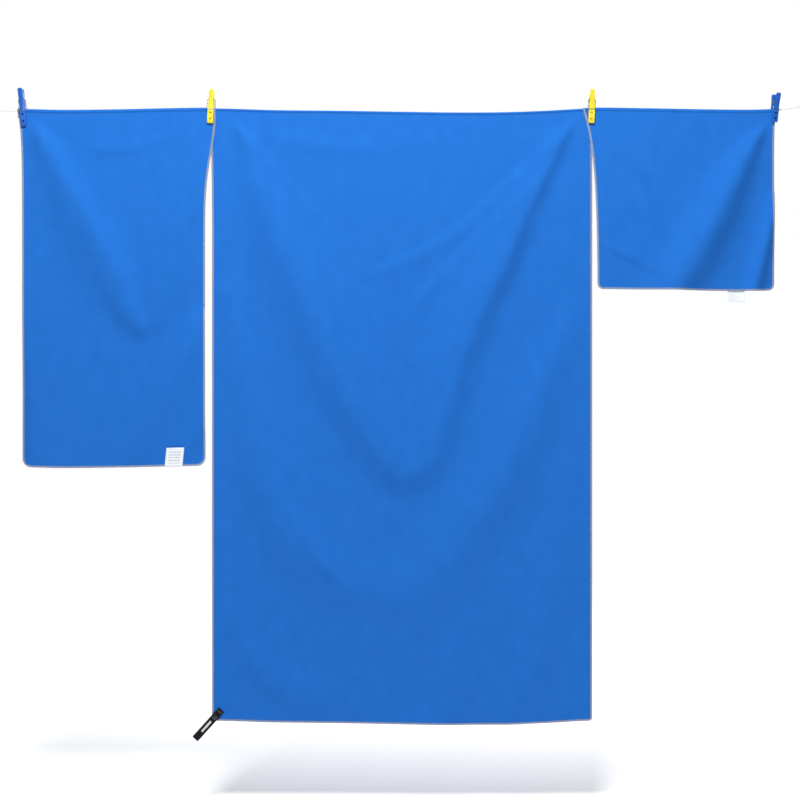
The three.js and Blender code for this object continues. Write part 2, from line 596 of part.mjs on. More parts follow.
// One lever, standing behind the line with its inner face towards it; the front lever is this one turned
// half round.
function leverGeometry(peg) {
  const jaw = pegSizes.jawShare * peg.length;
  const top = peg.length - jaw;
  const pivot = pegSizes.pivotShare * peg.length;
  const { thickness, handleThickness, handleSpread, wireDiameter } = pegSizes;
  const jawFace = jawFaceOf(peg);
  const notchRadius = pegSizes.notchRadius + cornerShift(peg, peg.turn) + cornerShift(peg, peg.lean);

  const side = new THREE.Shape();
  side.moveTo(0.8, -jaw);
  side.lineTo(0, -jaw + 3);
  side.lineTo(0, pivot + 5);
  side.lineTo(handleSpread, top - 1);
  side.quadraticCurveTo(handleSpread + 1.2, top + 1, handleSpread + handleThickness, top - 2);
  side.lineTo(thickness + 0.8, pivot + 3);
  side.lineTo(thickness, pivot - 6);
  side.lineTo(thickness, -jaw + 8);
  side.quadraticCurveTo(thickness - 0.2, -jaw + 1, thickness - 2, -jaw);
  const body = new THREE.ExtrudeGeometry(side, { depth: peg.width, bevelEnabled: false, curveSegments: 5 });
  body.translate(jawFace, 0, -peg.width / 2);
  body.rotateX(Math.PI / 2);
  body.rotateZ(Math.PI / 2);

  const front = new THREE.Shape();
  const [half, topHalf, round] = [peg.width / 2, peg.topWidth / 2, peg.topRound];
  front.moveTo(-half + 1.5, -jaw - 1);
  front.lineTo(half - 1.5, -jaw - 1);
  front.lineTo(half, -jaw + 1);
  front.lineTo(half, 3);
  front.lineTo(half - 0.5, 5);
  front.lineTo(topHalf, top - round);
  front.quadraticCurveTo(topHalf, top, topHalf - round, top);
  front.lineTo(-topHalf + round, top);
  front.quadraticCurveTo(-topHalf, top, -topHalf, top - round);
  front.lineTo(-half + 0.5, 5);
  front.lineTo(-half, 3);
  front.lineTo(-half, -jaw + 1);
  const outline = new THREE.ExtrudeGeometry(front, { depth: through, bevelEnabled: false, curveSegments: 5 });
  outline.translate(0, 0, -through);
  outline.rotateX(Math.PI / 2);

  const outerFace = jawFace + thickness;
  const grooveHeight = wireDiameter + 2 * gap;
  let lever = toSolid(body).intersect(toSolid(outline))
    .subtract(cylinderAcross(notchRadius, 0, 0))
    .subtract(cylinderAcross(pegSizes.seatRadius, jawFace - pegSizes.seatOffset, pivot))
    .subtract(block(through, 2 * pegSizes.grooveDepth, grooveHeight, 0, outerFace, 0));
  for (const share of windowShares) {
    lever = lever.subtract(block(pegSizes.windowWidth, 2 * pegSizes.windowDepth, pegSizes.windowHeight,
      0, outerFace, -share * jaw));
  }
  return toGeometry(lever);
}

// The wire runs across the front lever, up its side, round the coil, down the other side and across the
// back lever.
function springGeometry(peg) {
  const { wireDiameter, coilDiameter, coilTurns, thickness } = pegSizes;
  const pivot = pegSizes.pivotShare * peg.length;
  const sideX = peg.width / 2 + 2.5 * gap + wireDiameter / 2;
  const across = jawFaceOf(peg) + thickness - pegSizes.grooveDepth + gap + wireDiameter / 2;
  const coilRadius = coilDiameter / 2;
  const arm = [
    [sideX - 2.4, across, 0], [0, across, 0], [-sideX + 1.6, across, 0],
    [-sideX + 0.3, across - 0.4, 0.3], [-sideX, across - 1.4, 1.4],
    [-sideX, (across + coilRadius) / 2, pivot / 2], [-sideX, coilRadius + 0.15, pivot - 3],
  ];
  const turn = coilTurns * 2 * Math.PI + Math.PI;
  const coil = steps(0, 1, coilTurns * 8 + 4).map((t) => {
    const a = Math.PI - t * turn;
    return [-sideX + 2 * sideX * t, -coilRadius * Math.cos(a), pivot + coilRadius * Math.sin(a)];
  });
  const points = [
    ...arm.map(([x, y, z]) => new THREE.Vector3(x, -y, z)),
    ...coil.map(([x, y, z]) => new THREE.Vector3(x, -y, z)),
    ...arm.toReversed().map(([x, y, z]) => new THREE.Vector3(-x, y, z)),
  ];
  const path = new THREE.CatmullRomCurve3(points, false, 'centripetal');
  const wire = new THREE.Shape();
  wire.absarc(0, 0, wireDiameter / 2, 0, 2 * Math.PI);
  return new THREE.ExtrudeGeometry(wire, {
    steps: points.length, extrudePath: path, bevelEnabled: false, curveSegments: 3,
  });
}

function addPeg(peg) {
  const holder = new THREE.Group();
  holder.position.set(peg.x, 0, lineHeight(peg.x));
  holder.rotation.set(0, peg.lean * degree, peg.turn * degree, 'ZYX');
  group.add(holder);
  const plastic = finishes[peg.plastic];
  addPiece(`${peg.name}_back_lever`, leverGeometry(peg), plastic, holder);
  const frontLever = addPiece(`${peg.name}_front_lever`, leverGeometry(peg), plastic, holder);
  frontLever.rotation.z = Math.PI;
  addPiece(`${peg.name}_spring`, toGeometry(toSolid(springGeometry(peg))), finishes.wire, holder);
}

// ---------------------------------------------------------------- the line

function addLine() {
  const round = new THREE.Shape();
  round.absarc(0, 0, lineDiameter / 2, 0, 2 * Math.PI);
  addPiece('clothes_line', new THREE.ExtrudeGeometry(round, {
    steps: lineSteps, extrudePath: lineCurve, bevelEnabled: false, curveSegments: lineSides / 2,
  }), finishes.line);
  for (const [name, sign, end] of [['left', -1, lineRoute[0]], ['right', 1, lineRoute.at(-1)]]) {
    const knot = new THREE.SphereGeometry(knotDiameter / 2, 10, 6);
    knot.scale(knotLength / knotDiameter, 1, 1);
    const start = end.x + sign * (knotLength / 2 - 0.6);
    knot.translate(start, 0, end.z);
    const loop = new THREE.TorusGeometry(loopDiameter / 2, lineDiameter / 2, 6, 20);
    loop.rotateX(Math.PI / 2);
    loop.scale(1.25, 1, 1);
    loop.translate(start + sign * (knotLength / 2 + loopDiameter / 2), 0, end.z);
    const lineEnd = new THREE.CylinderGeometry(lineDiameter / 2 + gap, lineDiameter / 2 + gap, 4, 16);
    lineEnd.rotateZ(Math.PI / 2);
    lineEnd.translate(end.x - sign * (2 - gap), 0, end.z);
    addPiece(`${name}_end_loop`, toGeometry(toSolid(knot).add(toSolid(loop)).subtract(toSolid(lineEnd))),
      finishes.line);
  }
}

addLine();
[large, medium, small].forEach(addTowel);
addLabels();
addStrap();
pegs.forEach(addPeg);

export default group;
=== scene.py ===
import json
import math

import bmesh
import bpy
import numpy as np
from bpy.props import FloatProperty, FloatVectorProperty, PointerProperty
from bpy.types import Operator, Panel, PropertyGroup
from mathutils import Euler, Matrix, Vector


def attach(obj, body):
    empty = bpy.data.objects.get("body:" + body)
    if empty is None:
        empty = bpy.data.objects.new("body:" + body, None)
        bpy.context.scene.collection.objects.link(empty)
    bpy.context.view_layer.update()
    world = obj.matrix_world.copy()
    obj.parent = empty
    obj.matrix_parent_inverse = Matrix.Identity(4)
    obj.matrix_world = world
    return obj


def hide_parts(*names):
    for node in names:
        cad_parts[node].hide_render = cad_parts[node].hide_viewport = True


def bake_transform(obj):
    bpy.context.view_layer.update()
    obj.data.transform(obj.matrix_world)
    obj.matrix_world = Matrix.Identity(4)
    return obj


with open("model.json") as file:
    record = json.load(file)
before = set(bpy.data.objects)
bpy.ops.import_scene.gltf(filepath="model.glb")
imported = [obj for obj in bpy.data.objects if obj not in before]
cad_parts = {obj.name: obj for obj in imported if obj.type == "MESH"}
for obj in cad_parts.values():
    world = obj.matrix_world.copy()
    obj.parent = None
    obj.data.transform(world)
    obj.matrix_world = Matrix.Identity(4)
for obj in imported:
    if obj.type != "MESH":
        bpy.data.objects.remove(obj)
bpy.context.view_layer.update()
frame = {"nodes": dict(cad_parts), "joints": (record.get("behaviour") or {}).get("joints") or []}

bl_info = {
    "name": "Quick dry towels on a line",
    "version": (1, 0, 0),
    "blender": (4, 5, 0),
    "location": "3D View > Sidebar > Towels",
    "description": "Three microfibre travel towels pegged to a taut line",
    "category": "Add Mesh",
}

# Everything is in metres. +X runs along the line, -Y is the front of the towels and +Z is up.
GAP = 0.0003
ROOT = "line_and_bands"
FLAT = "flat"                       # the UV map that holds a surface's flat size in metres


# ---------------------------------------------------------------- curves and surfaces

def unit(vectors):
    """Vectors of length one."""
    return vectors / np.linalg.norm(vectors, axis=-1, keepdims=True)


def smoothstep(value):
    """3 t^2 - 2 t^3, with t held between 0 and 1."""
    t = np.clip(value, 0.0, 1.0)
    return t * t * (3 - 2 * t)


def smooth_path(points, steps):
    """A centripetal Catmull-Rom curve through the points: between two of them it is the cubic whose end
    slopes come from the neighbours, weighted by the square root of the distance between them."""
    points = np.asarray(points, float)
    padded = np.vstack([2 * points[0] - points[1], points, 2 * points[-1] - points[-2]])
    before, start, end, after = padded[:-3], padded[1:-2], padded[2:-1], padded[3:]
    spans = np.sqrt(np.linalg.norm(np.diff(padded[:, :3], axis=0), axis=1))[:, None]
    first, middle, last = spans[:-2], spans[1:-1], spans[2:]
    leave = middle * ((start - before) / first - (end - before) / (first + middle) + (end - start) / middle)
    arrive = middle * ((end - start) / middle - (after - start) / (middle + last) + (after - end) / last)
    t = np.arange(steps)[:, None, None] / steps
    cubic = (start + leave * t + (3 * (end - start) - 2 * leave - arrive) * t ** 2
             + (2 * (start - end) + leave + arrive) * t ** 3)
    curve = cubic.transpose(1, 0, 2).reshape(-1, points.shape[1])
    return np.vstack([curve, points[-1]])


def distance_along(path):
    """The length of the path up to each of its points."""
    return np.concatenate([[0.0], np.cumsum(np.linalg.norm(np.diff(path, axis=0), axis=1))])


def path_at(path, along, places):
    """The path's points at those places, where along gives the place of each of its own points."""
    return np.stack([np.interp(places, along, column) for column in path.T], axis=1)


def even_path(path, count):
    """The same path with its points at equal distances."""
    along = distance_along(path)
    return path_at(path, along, np.linspace(0, along[-1], count))


def tube(path, radii, sides, side):
    """A ring carried along a path. Each ring is the ellipse radii[0] cos a along the direction nearest to
    side, and radii[1] sin a across it. Gives the points and their flat place, length by girth."""
    along = unit(np.gradient(path, axis=0))
    side = np.broadcast_to(side, path.shape)
    wide = unit(side - (side * along).sum(-1, keepdims=True) * along)
    thin = np.cross(along, wide)
    angle = 2 * np.pi * np.arange(sides) / sides
    radii = [np.broadcast_to(radius, len(path))[:, None, None] for radius in radii]
    ring = (radii[0] * np.cos(angle)[:, None] * wide[:, None]
            + radii[1] * np.sin(angle)[:, None] * thin[:, None])
    girth = np.arange(sides + 1) / sides * 2 * np.pi * radii[0].mean()
    length = distance_along(path)
    flat = np.stack(np.broadcast_arrays(length[:, None], girth[None, :]), axis=-1)
    return path[:, None] + ring, flat


class Shell:
    """Surfaces gathered into one mesh. A surface is a grid of points, and flat is the place of each grid
    point on a flat sheet, with one more column where the grid closes on itself."""

    def __init__(self):
        self.points, self.faces, self.flat = [], [], []
        self.count = 0

    def add(self, grid, flat, around=False, ends=False, flip=False):
        """Adds a surface: around joins its last column to its first, ends closes its first and last rows
        with a flat face each, and flip turns its faces over."""
        rows, columns = grid.shape[:2]
        i, j = np.meshgrid(np.arange(rows - 1), np.arange(columns - 1 + around), indexing="ij")
        i, j = i.ravel(), j.ravel()
        corners = ((i, j), (i, j + 1), (i + 1, j + 1), (i + 1, j))
        corners = corners[::-1] if flip else corners
        quads = np.stack([a * columns + b % columns for a, b in corners], axis=-1)
        self.faces += (quads + self.count).tolist()
        self.flat.append(np.stack([flat[a, b] for a, b in corners], axis=1).reshape(-1, 2))
        if ends:
            ring = np.arange(columns)
            for row, order in ((0, -1), (rows - 1, 1)):
                self.faces.append((self.count + row * columns + ring[::order]).tolist())
                self.flat.append(flat[row, ring[::order]])
        self.points.append(grid.reshape(-1, 3))
        self.count += rows * columns
        return self

    def add_tube(self, path, radii, sides, side):
        """Adds a closed tube along a path."""
        return self.add(*tube(path, radii, sides, side), around=True, ends=True)

    def piece(self, name, material):
        """Makes the mesh object."""
        mesh = bpy.data.meshes.new(name)
        mesh.from_pydata(np.vstack(self.points), [], self.faces)
        mesh.polygons.foreach_set("use_smooth", np.ones(len(self.faces), bool))
        layer = mesh.uv_layers.new(name=FLAT)
        layer.uv.foreach_set("vector", np.vstack(self.flat).astype(np.float32).ravel())
        mesh.materials.append(material)
        mesh.update()
        piece = bpy.data.objects.new(name, mesh)
        bpy.context.scene.collection.objects.link(piece)
        return piece


def add_modifier(piece, kind, **settings):
    """Adds a modifier with those settings."""
    modifier = piece.modifiers.new(kind.title(), kind)
    for name, value in settings.items():
        setattr(modifier, name, value)
    return modifier


# ---------------------------------------------------------------- shader maths

class Socket:
    """A node's socket in an expression: arithmetic on it adds Math nodes, and node() adds any other."""

    def __init__(self, tree, socket=None):
        self.tree, self.socket = tree, socket

    def node(self, kind, settings=None, inputs=None, output=0):
        """Adds a node, sets its settings, then its sockets to values or links."""
        node = self.tree.nodes.new(kind)
        for name, value in (settings or {}).items():
            setattr(node, name, value)
        for key, value in (inputs or {}).items():
            if isinstance(value, Socket):
                self.tree.links.new(value.socket, node.inputs[key])
            else:
                node.inputs[key].default_value = value
        return Socket(self.tree, node.outputs[output])

    def math(self, operation, *values):
        """One Math node on those values or sockets."""
        return self.node("ShaderNodeMath", {"operation": operation}, dict(enumerate(values)))

    def __add__(self, other):
        return self.math("ADD", self, other)

    __radd__ = __add__

    def __mul__(self, other):
        return self.math("MULTIPLY", self, other)

    __rmul__ = __mul__

    def __sub__(self, other):
        return self.math("SUBTRACT", self, other)

    def __rsub__(self, other):
        return self.math("SUBTRACT", other, self)

    def clamped(self):
        """This held between 0 and 1."""
        return self.math("MINIMUM", self.math("MAXIMUM", self, 0.0), 1.0)

    def wave(self):
        """The sine of this."""
        return self.math("SINE", self)

    def parts(self):
        """The X and Y of a vector."""
        x = self.node("ShaderNodeSeparateXYZ", inputs={0: self})
        return x, Socket(self.tree, x.socket.node.outputs[1])

    def stretched(self, scale):
        """A place multiplied by a scale along each axis."""
        return self.node("ShaderNodeVectorMath", {"operation": "MULTIPLY"}, {0: self, 1: scale})

    def noise(self, scale, detail=2.0, roughness=0.5):
        """Smooth noise at this place."""
        return self.node("ShaderNodeTexNoise", inputs={
            "Vector": self, "Scale": scale, "Detail": detail, "Roughness": roughness})

    def between(self, low, high):
        """The colour low where this is 0 and high where it is 1."""
        return self.node("ShaderNodeMix", {"data_type": "RGBA"}, {0: self, 6: low, 7: high}, output=2)

    def bump(self, strength, distance):
        """The normal of a surface raised by this."""
        return self.node("ShaderNodeBump", inputs={
            "Height": self, "Strength": strength, "Distance": distance})


def new_material(name, **constants):
    """A material with one Principled shader. Gives the material, an expression start and a function that
    links what changes over the surface."""
    material = bpy.data.materials.new(name)
    material.use_nodes = True
    tree = material.node_tree
    shader = tree.nodes["Principled BSDF"]
    for key, value in constants.items():
        shader.inputs[key.replace("_", " ").title().replace("Ior", "IOR")].default_value = value

    def link(**sockets):
        for key, value in sockets.items():
            tree.links.new(value.socket, shader.inputs[key.replace("_", " ").title()])

    return material, Socket(tree), link


def shaded(colour, factor):
    """The colour made darker or paler by a factor."""
    return (*(factor * channel for channel in colour[:3]), 1.0)


def flat_place(start):
    """The place on the flat sheet, in metres."""
    return start.node("ShaderNodeUVMap", {"uv_map": FLAT})


def object_place(start):
    """The place in the piece's own frame."""
    return start.node("ShaderNodeTexCoord", output=3)


# ---------------------------------------------------------------- sizes and colours

def length(name, description, default):
    """A size in metres."""
    return FloatProperty(name=name, description=description, default=default, min=0.0, unit="LENGTH",
                         precision=4)


def colour(name, description, default):
    """A colour without its alpha, which is 1."""
    return FloatVectorProperty(name=name, description=description, default=(*default, 1.0), size=4,
                               min=0.0, max=1.0, subtype="COLOR")


class LineSizes(PropertyGroup):
    """The braided line and its end loops."""
    diameter: length("Diameter", "Thickness of the line", 0.0028)
    plait: length("Plait", "Length of one turn of the braid", 0.0072)
    cord: colour("Line", "Colour of the braided line", (0.96, 0.96, 0.86))


class TowelSizes(PropertyGroup):
    """The cloth of the towels."""
    thickness: length("Thickness", "Thickness of the cloth", 0.0007)
    grid: length("Grid", "Distance between the points of the largest towel", 0.0052)
    folds: FloatProperty(name="Folds", description="How deep the folds are", default=1.0, min=0.0)
    deep: colour("Deep blue", "The nap brushed down", (0.0090, 0.126, 0.500))
    pale: colour("Pale blue", "The nap brushed up", (0.0165, 0.176, 0.650))


class EdgingSizes(PropertyGroup):
    """The overlocked yarn round the towels."""
    width: length("Width", "How far the yarn reaches in from the raw edge", 0.004)
    stitch: length("Stitch", "Distance from one stitch to the next", 0.0025)
    yarn_width: length("Yarn width", "Width of the flattened yarn", 0.0016)
    yarn_height: length("Yarn height", "Thickness of the flattened yarn", 0.00034)
    yarn: colour("Yarn", "Colour of the edging", (0.50, 0.52, 0.56))
    thread: colour("Needle thread", "Colour of the seam line", (0.42, 0.45, 0.52))


class LabelSizes(PropertyGroup):
    """The care labels."""
    thickness: length("Thickness", "Thickness of the satin tape", 0.0003)
    line_gap: length("Line gap", "Distance between the faint lines", 0.0058)
    tape: colour("Tape", "Colour of the satin", (0.90, 0.94, 0.98))
    print_grey: colour("Lines", "Colour of the faint lines on the larger label", (0.36, 0.40, 0.46))


class StrapSizes(PropertyGroup):
    """The snap hanging strap."""
    width: length("Width", "Width of the webbing", 0.015)
    thickness: length("Thickness", "Thickness of the webbing", 0.0012)
    rib: length("Rib", "Distance from one rib of the weave to the next", 0.0011)
    webbing: colour("Webbing", "Colour of the webbing", (0.0050, 0.0052, 0.0060))
    stripe: colour("Stripe", "Colour of the plain stripe", (0.84, 0.86, 0.86))
    thread: colour("Bar tack", "Colour of the bar tack", (0.72, 0.74, 0.75))
    enamel: colour("Snap", "Colour of the snap", (0.020, 0.021, 0.024))


class PegSizes(PropertyGroup):
    """The clothes pegs."""
    edge: length("Edge", "Radius of the moulded edges", 0.00045)
    wire: length("Wire", "Thickness of the spring wire", 0.0014)
    blue: colour("Blue", "Colour of the two outer pegs", (0.012, 0.120, 0.500))
    yellow: colour("Yellow", "Colour of the two inner pegs", (0.86, 0.72, 0.035))
    steel: colour("Steel", "Colour of the springs", (0.42, 0.43, 0.44))


class StageSizes(PropertyGroup):
    """The floor, the light and the camera."""
    camera_distance: length("Camera distance", "From the camera to the line", 4.0)
    view_width: length("View width", "Width of the picture at the towels", 1.68)
    view_height: FloatProperty(name="View height", description="Height of the camera", default=-0.6027,
                               unit="LENGTH")
    floor: FloatProperty(name="Floor", description="Height of the floor", default=-1.45, unit="LENGTH")
    key: FloatProperty(name="Key light", description="Power of the key light", default=113.0, unit="POWER")
    back: FloatProperty(name="Back light", description="Power of the light behind", default=60.0,
                        unit="POWER")
    sky: FloatProperty(name="Sky", description="Strength of the light from all round", default=0.07)


# ---------------------------------------------------------------- the line's route

LINE_ROUTE = [
    (-0.8641, 0.0, 0.0060), (-0.8281, 0.0, 0.0050), (-0.7921, 0.0, 0.0045), (-0.7111, 0.0, 0.0025),
    (-0.6011, 0.0, 0.0035), (-0.3970, 0.0, 0.0070), (-0.2656, 0.0, 0.0035), (-0.1256, 0.0, 0.0020),
    (0.0, 0.0, 0.0), (0.1144, 0.0, -0.0015), (0.2144, 0.0, -0.0010), (0.3044, 0.0, 0.0020),
    (0.4022, 0.0, 0.0070), (0.5101, 0.0, 0.0060), (0.6501, 0.0, 0.0035), (0.7466, 0.0, 0.0030),
    (0.7866, 0.0, 0.0050), (0.8226, 0.0, 0.0105), (0.8586, 0.0, 0.0165),
]
LINE = smooth_path(LINE_ROUTE, 24)


def line_height(x):
    """Height of the line's axis at x."""
    return np.interp(x, LINE[:, 0], LINE[:, 2])


# ---------------------------------------------------------------- how a towel hangs

HEM = 0.015                         # folded over behind the line
LINE_RADIUS = 0.0014
EDGE_HALF = 0.0006                  # half the thickness of the edging
WRAP_EASE = 0.00005                 # a towel lies this much looser round the line than what it lies on
FILLET = 0.003                      # radius of the bends below the line, in front and behind
SECTION_POINTS = 600
SECTION_SPARE = 0.05                # the section goes on this far past the bottom edge
FOLDS_START, FOLDS_GROW = 0.004, 0.05    # the depth where the folds start, and over which they grow
EDGE_TUCK = 0.0005                  # the cloth ends this far inside the raw edge, under the yarn


class Towel:
    """One towel's cut, how it goes over the line and how it is folded. Each fold is a crest or a valley
    along a curve that runs down from the left, round and up to the right. Its points are (share of the
    width, share of the drop, height, half width on the upper side, half width on the lower side)."""

    def __init__(self, name, middle, width, drop, corner, layer, pulls, holds, folds, cell):
        self.name, self.middle, self.width, self.drop = name, middle, width, drop
        self.corner, self.pulls, self.holds, self.cell = corner, pulls, holds, cell
        step = 2 * EDGE_HALF + GAP
        self.plane = GAP / 2 + EDGE_HALF + layer * step
        self.wrap = LINE_RADIUS + GAP + EDGE_HALF + WRAP_EASE + layer * step
        self.fillet = FILLET - layer * step
        self.fall = math.sqrt((self.wrap + self.fillet) ** 2 - (self.plane + self.fillet) ** 2)
        self.lean = math.atan2(self.fall, self.plane + self.fillet)
        self.folds = [self.fold_line(fold) for fold in folds]
        self.section = self.folded_section()

    def fold_line(self, fold):
        """A fold's curve in metres, from its shares of the width and drop and its millimetres."""
        rows = np.array(fold, float)
        rows[:, 0] = self.middle + (rows[:, 0] - 0.5) * self.width
        rows[:, 1] *= self.drop
        rows[:, 2:] *= 0.001
        return smooth_path(rows, 6)

    def folded_section(self):
        """The section over the line as a table of s, y and z: the heading is straight up the back, turns
        out round a fillet, goes back over the line at the wrap radius, and out round a second fillet to
        straight down the front. The heading is integrated along s."""
        bend, over = self.fillet * self.lean, self.wrap * (math.pi + 2 * self.lean)
        knots = np.cumsum([0, HEM - self.fall, bend, over, bend, self.drop - self.fall + SECTION_SPARE])
        turns = np.array([0, 0, self.lean, -math.pi - self.lean, -math.pi, -math.pi])
        bends = np.linspace(knots[1], knots[4], SECTION_POINTS)
        s = np.concatenate([[0], bends, knots[5:]])
        heading = np.interp(s, knots, turns)
        middle = (heading[1:] + heading[:-1]) / 2
        y = self.plane + np.concatenate([[0], np.cumsum(np.diff(s) * np.sin(middle))])
        z = -HEM + np.concatenate([[0], np.cumsum(np.diff(s) * np.cos(middle))])
        self.front_start = knots[4]
        self.bottom = knots[4] + self.drop - self.fall
        return s, y, z

    def edge(self, side, depth):
        """The x of an edge: straight, and drawn outwards near its peg by pull exp(-(depth / reach)^power)."""
        pull, reach, power = self.pulls[side]
        out = self.width / 2 + pull * np.exp(-(np.maximum(depth, 0) / reach) ** power)
        return self.middle + (out if side == "right" else -out)

    def height(self, x, depth):
        """How far the cloth stands forward: the sum of its folds, each height exp(-(distance / width)^2),
        faded out where the cloth lies on the line and in the pegs."""
        total = np.zeros(x.shape)
        for fold in self.folds:
            start, step = fold[:-1], np.diff(fold, axis=0)
            aside, down = x[..., None] - start[:, 0], depth[..., None] - start[:, 1]
            share = (aside * step[:, 0] + down * step[:, 1]) / (step[:, 0] ** 2 + step[:, 1] ** 2)
            share = np.clip(share, 0, 1)
            apart = np.hypot(aside - share * step[:, 0], down - share * step[:, 1])
            near = apart.argmin(-1)[..., None]
            share, apart, aside, down = (
                np.take_along_axis(values, near, -1)[..., 0] for values in (share, apart, aside, down))
            near = near[..., 0]
            row = start[near] + share[..., None] * step[near]
            below = step[near, 0] * down - step[near, 1] * aside > 0
            total += row[..., 2] * np.exp(-(apart / np.where(below, row[..., 4], row[..., 3])) ** 2)
        free = smoothstep((depth - FOLDS_START) / FOLDS_GROW)
        for place, across, below in self.holds:
            pinned = np.exp(-((x - place) / across) ** 2) * (1 - smoothstep(depth / below - 0.4))
            free = free * (1 - pinned)
        return total * free

    def hang(self, x, s):
        """The cloth's middle surface at x and at the arc length s from the hem behind."""
        table, across, up = self.section
        y, z = np.interp(s, table, across), np.interp(s, table, up)
        depth = np.where(s > self.front_start, -z, 0.0)
        forward = self.height(x, depth) * bpy.context.scene.towel_cloth.folds
        return np.stack([x, y - forward, z + line_height(x)], axis=-1)

    def hang_with_normal(self, x, s):
        """The surface and its outward normal, from the slopes along x and s."""
        step = 0.0002
        across = self.hang(x + step, s) - self.hang(x - step, s)
        down = self.hang(x, s + step) - self.hang(x, np.maximum(s - step, 0))
        return self.hang(x, s), unit(np.cross(down, across))

    def inset(self, s, radius, corner):
        """How far a rounded bottom corner draws the side in."""
        past = np.clip(s - (self.bottom - corner), 0, radius)
        return radius - np.sqrt(radius ** 2 - past ** 2)

    def outline(self, count):
        """The raw edge as flat points (x, s), evenly spaced: down the left side, along the bottom, up the
        right side and back along the hem, with quarter circles at the bottom corners."""
        sides = np.linspace(0, self.bottom - self.corner, 160)
        depth = np.maximum(0, sides - self.front_start + self.fall)
        left, right = self.edge("left", depth), self.edge("right", depth)
        turn = np.linspace(0, np.pi / 2, 14)[1:]
        low = self.bottom - self.corner
        left_foot = left[-1] + self.corner
        right_foot = right[-1] - self.corner
        path = np.vstack([
            np.stack([left, sides], 1),
            np.stack([left_foot - self.corner * np.cos(turn), low + self.corner * np.sin(turn)], 1),
            np.stack([right_foot + self.corner * np.sin(turn), low + self.corner * np.cos(turn)], 1),
            np.stack([right[::-1], sides[::-1]], 1)[1:],
            [[left[0], 0.0]],
        ])
        return even_path(path, count)


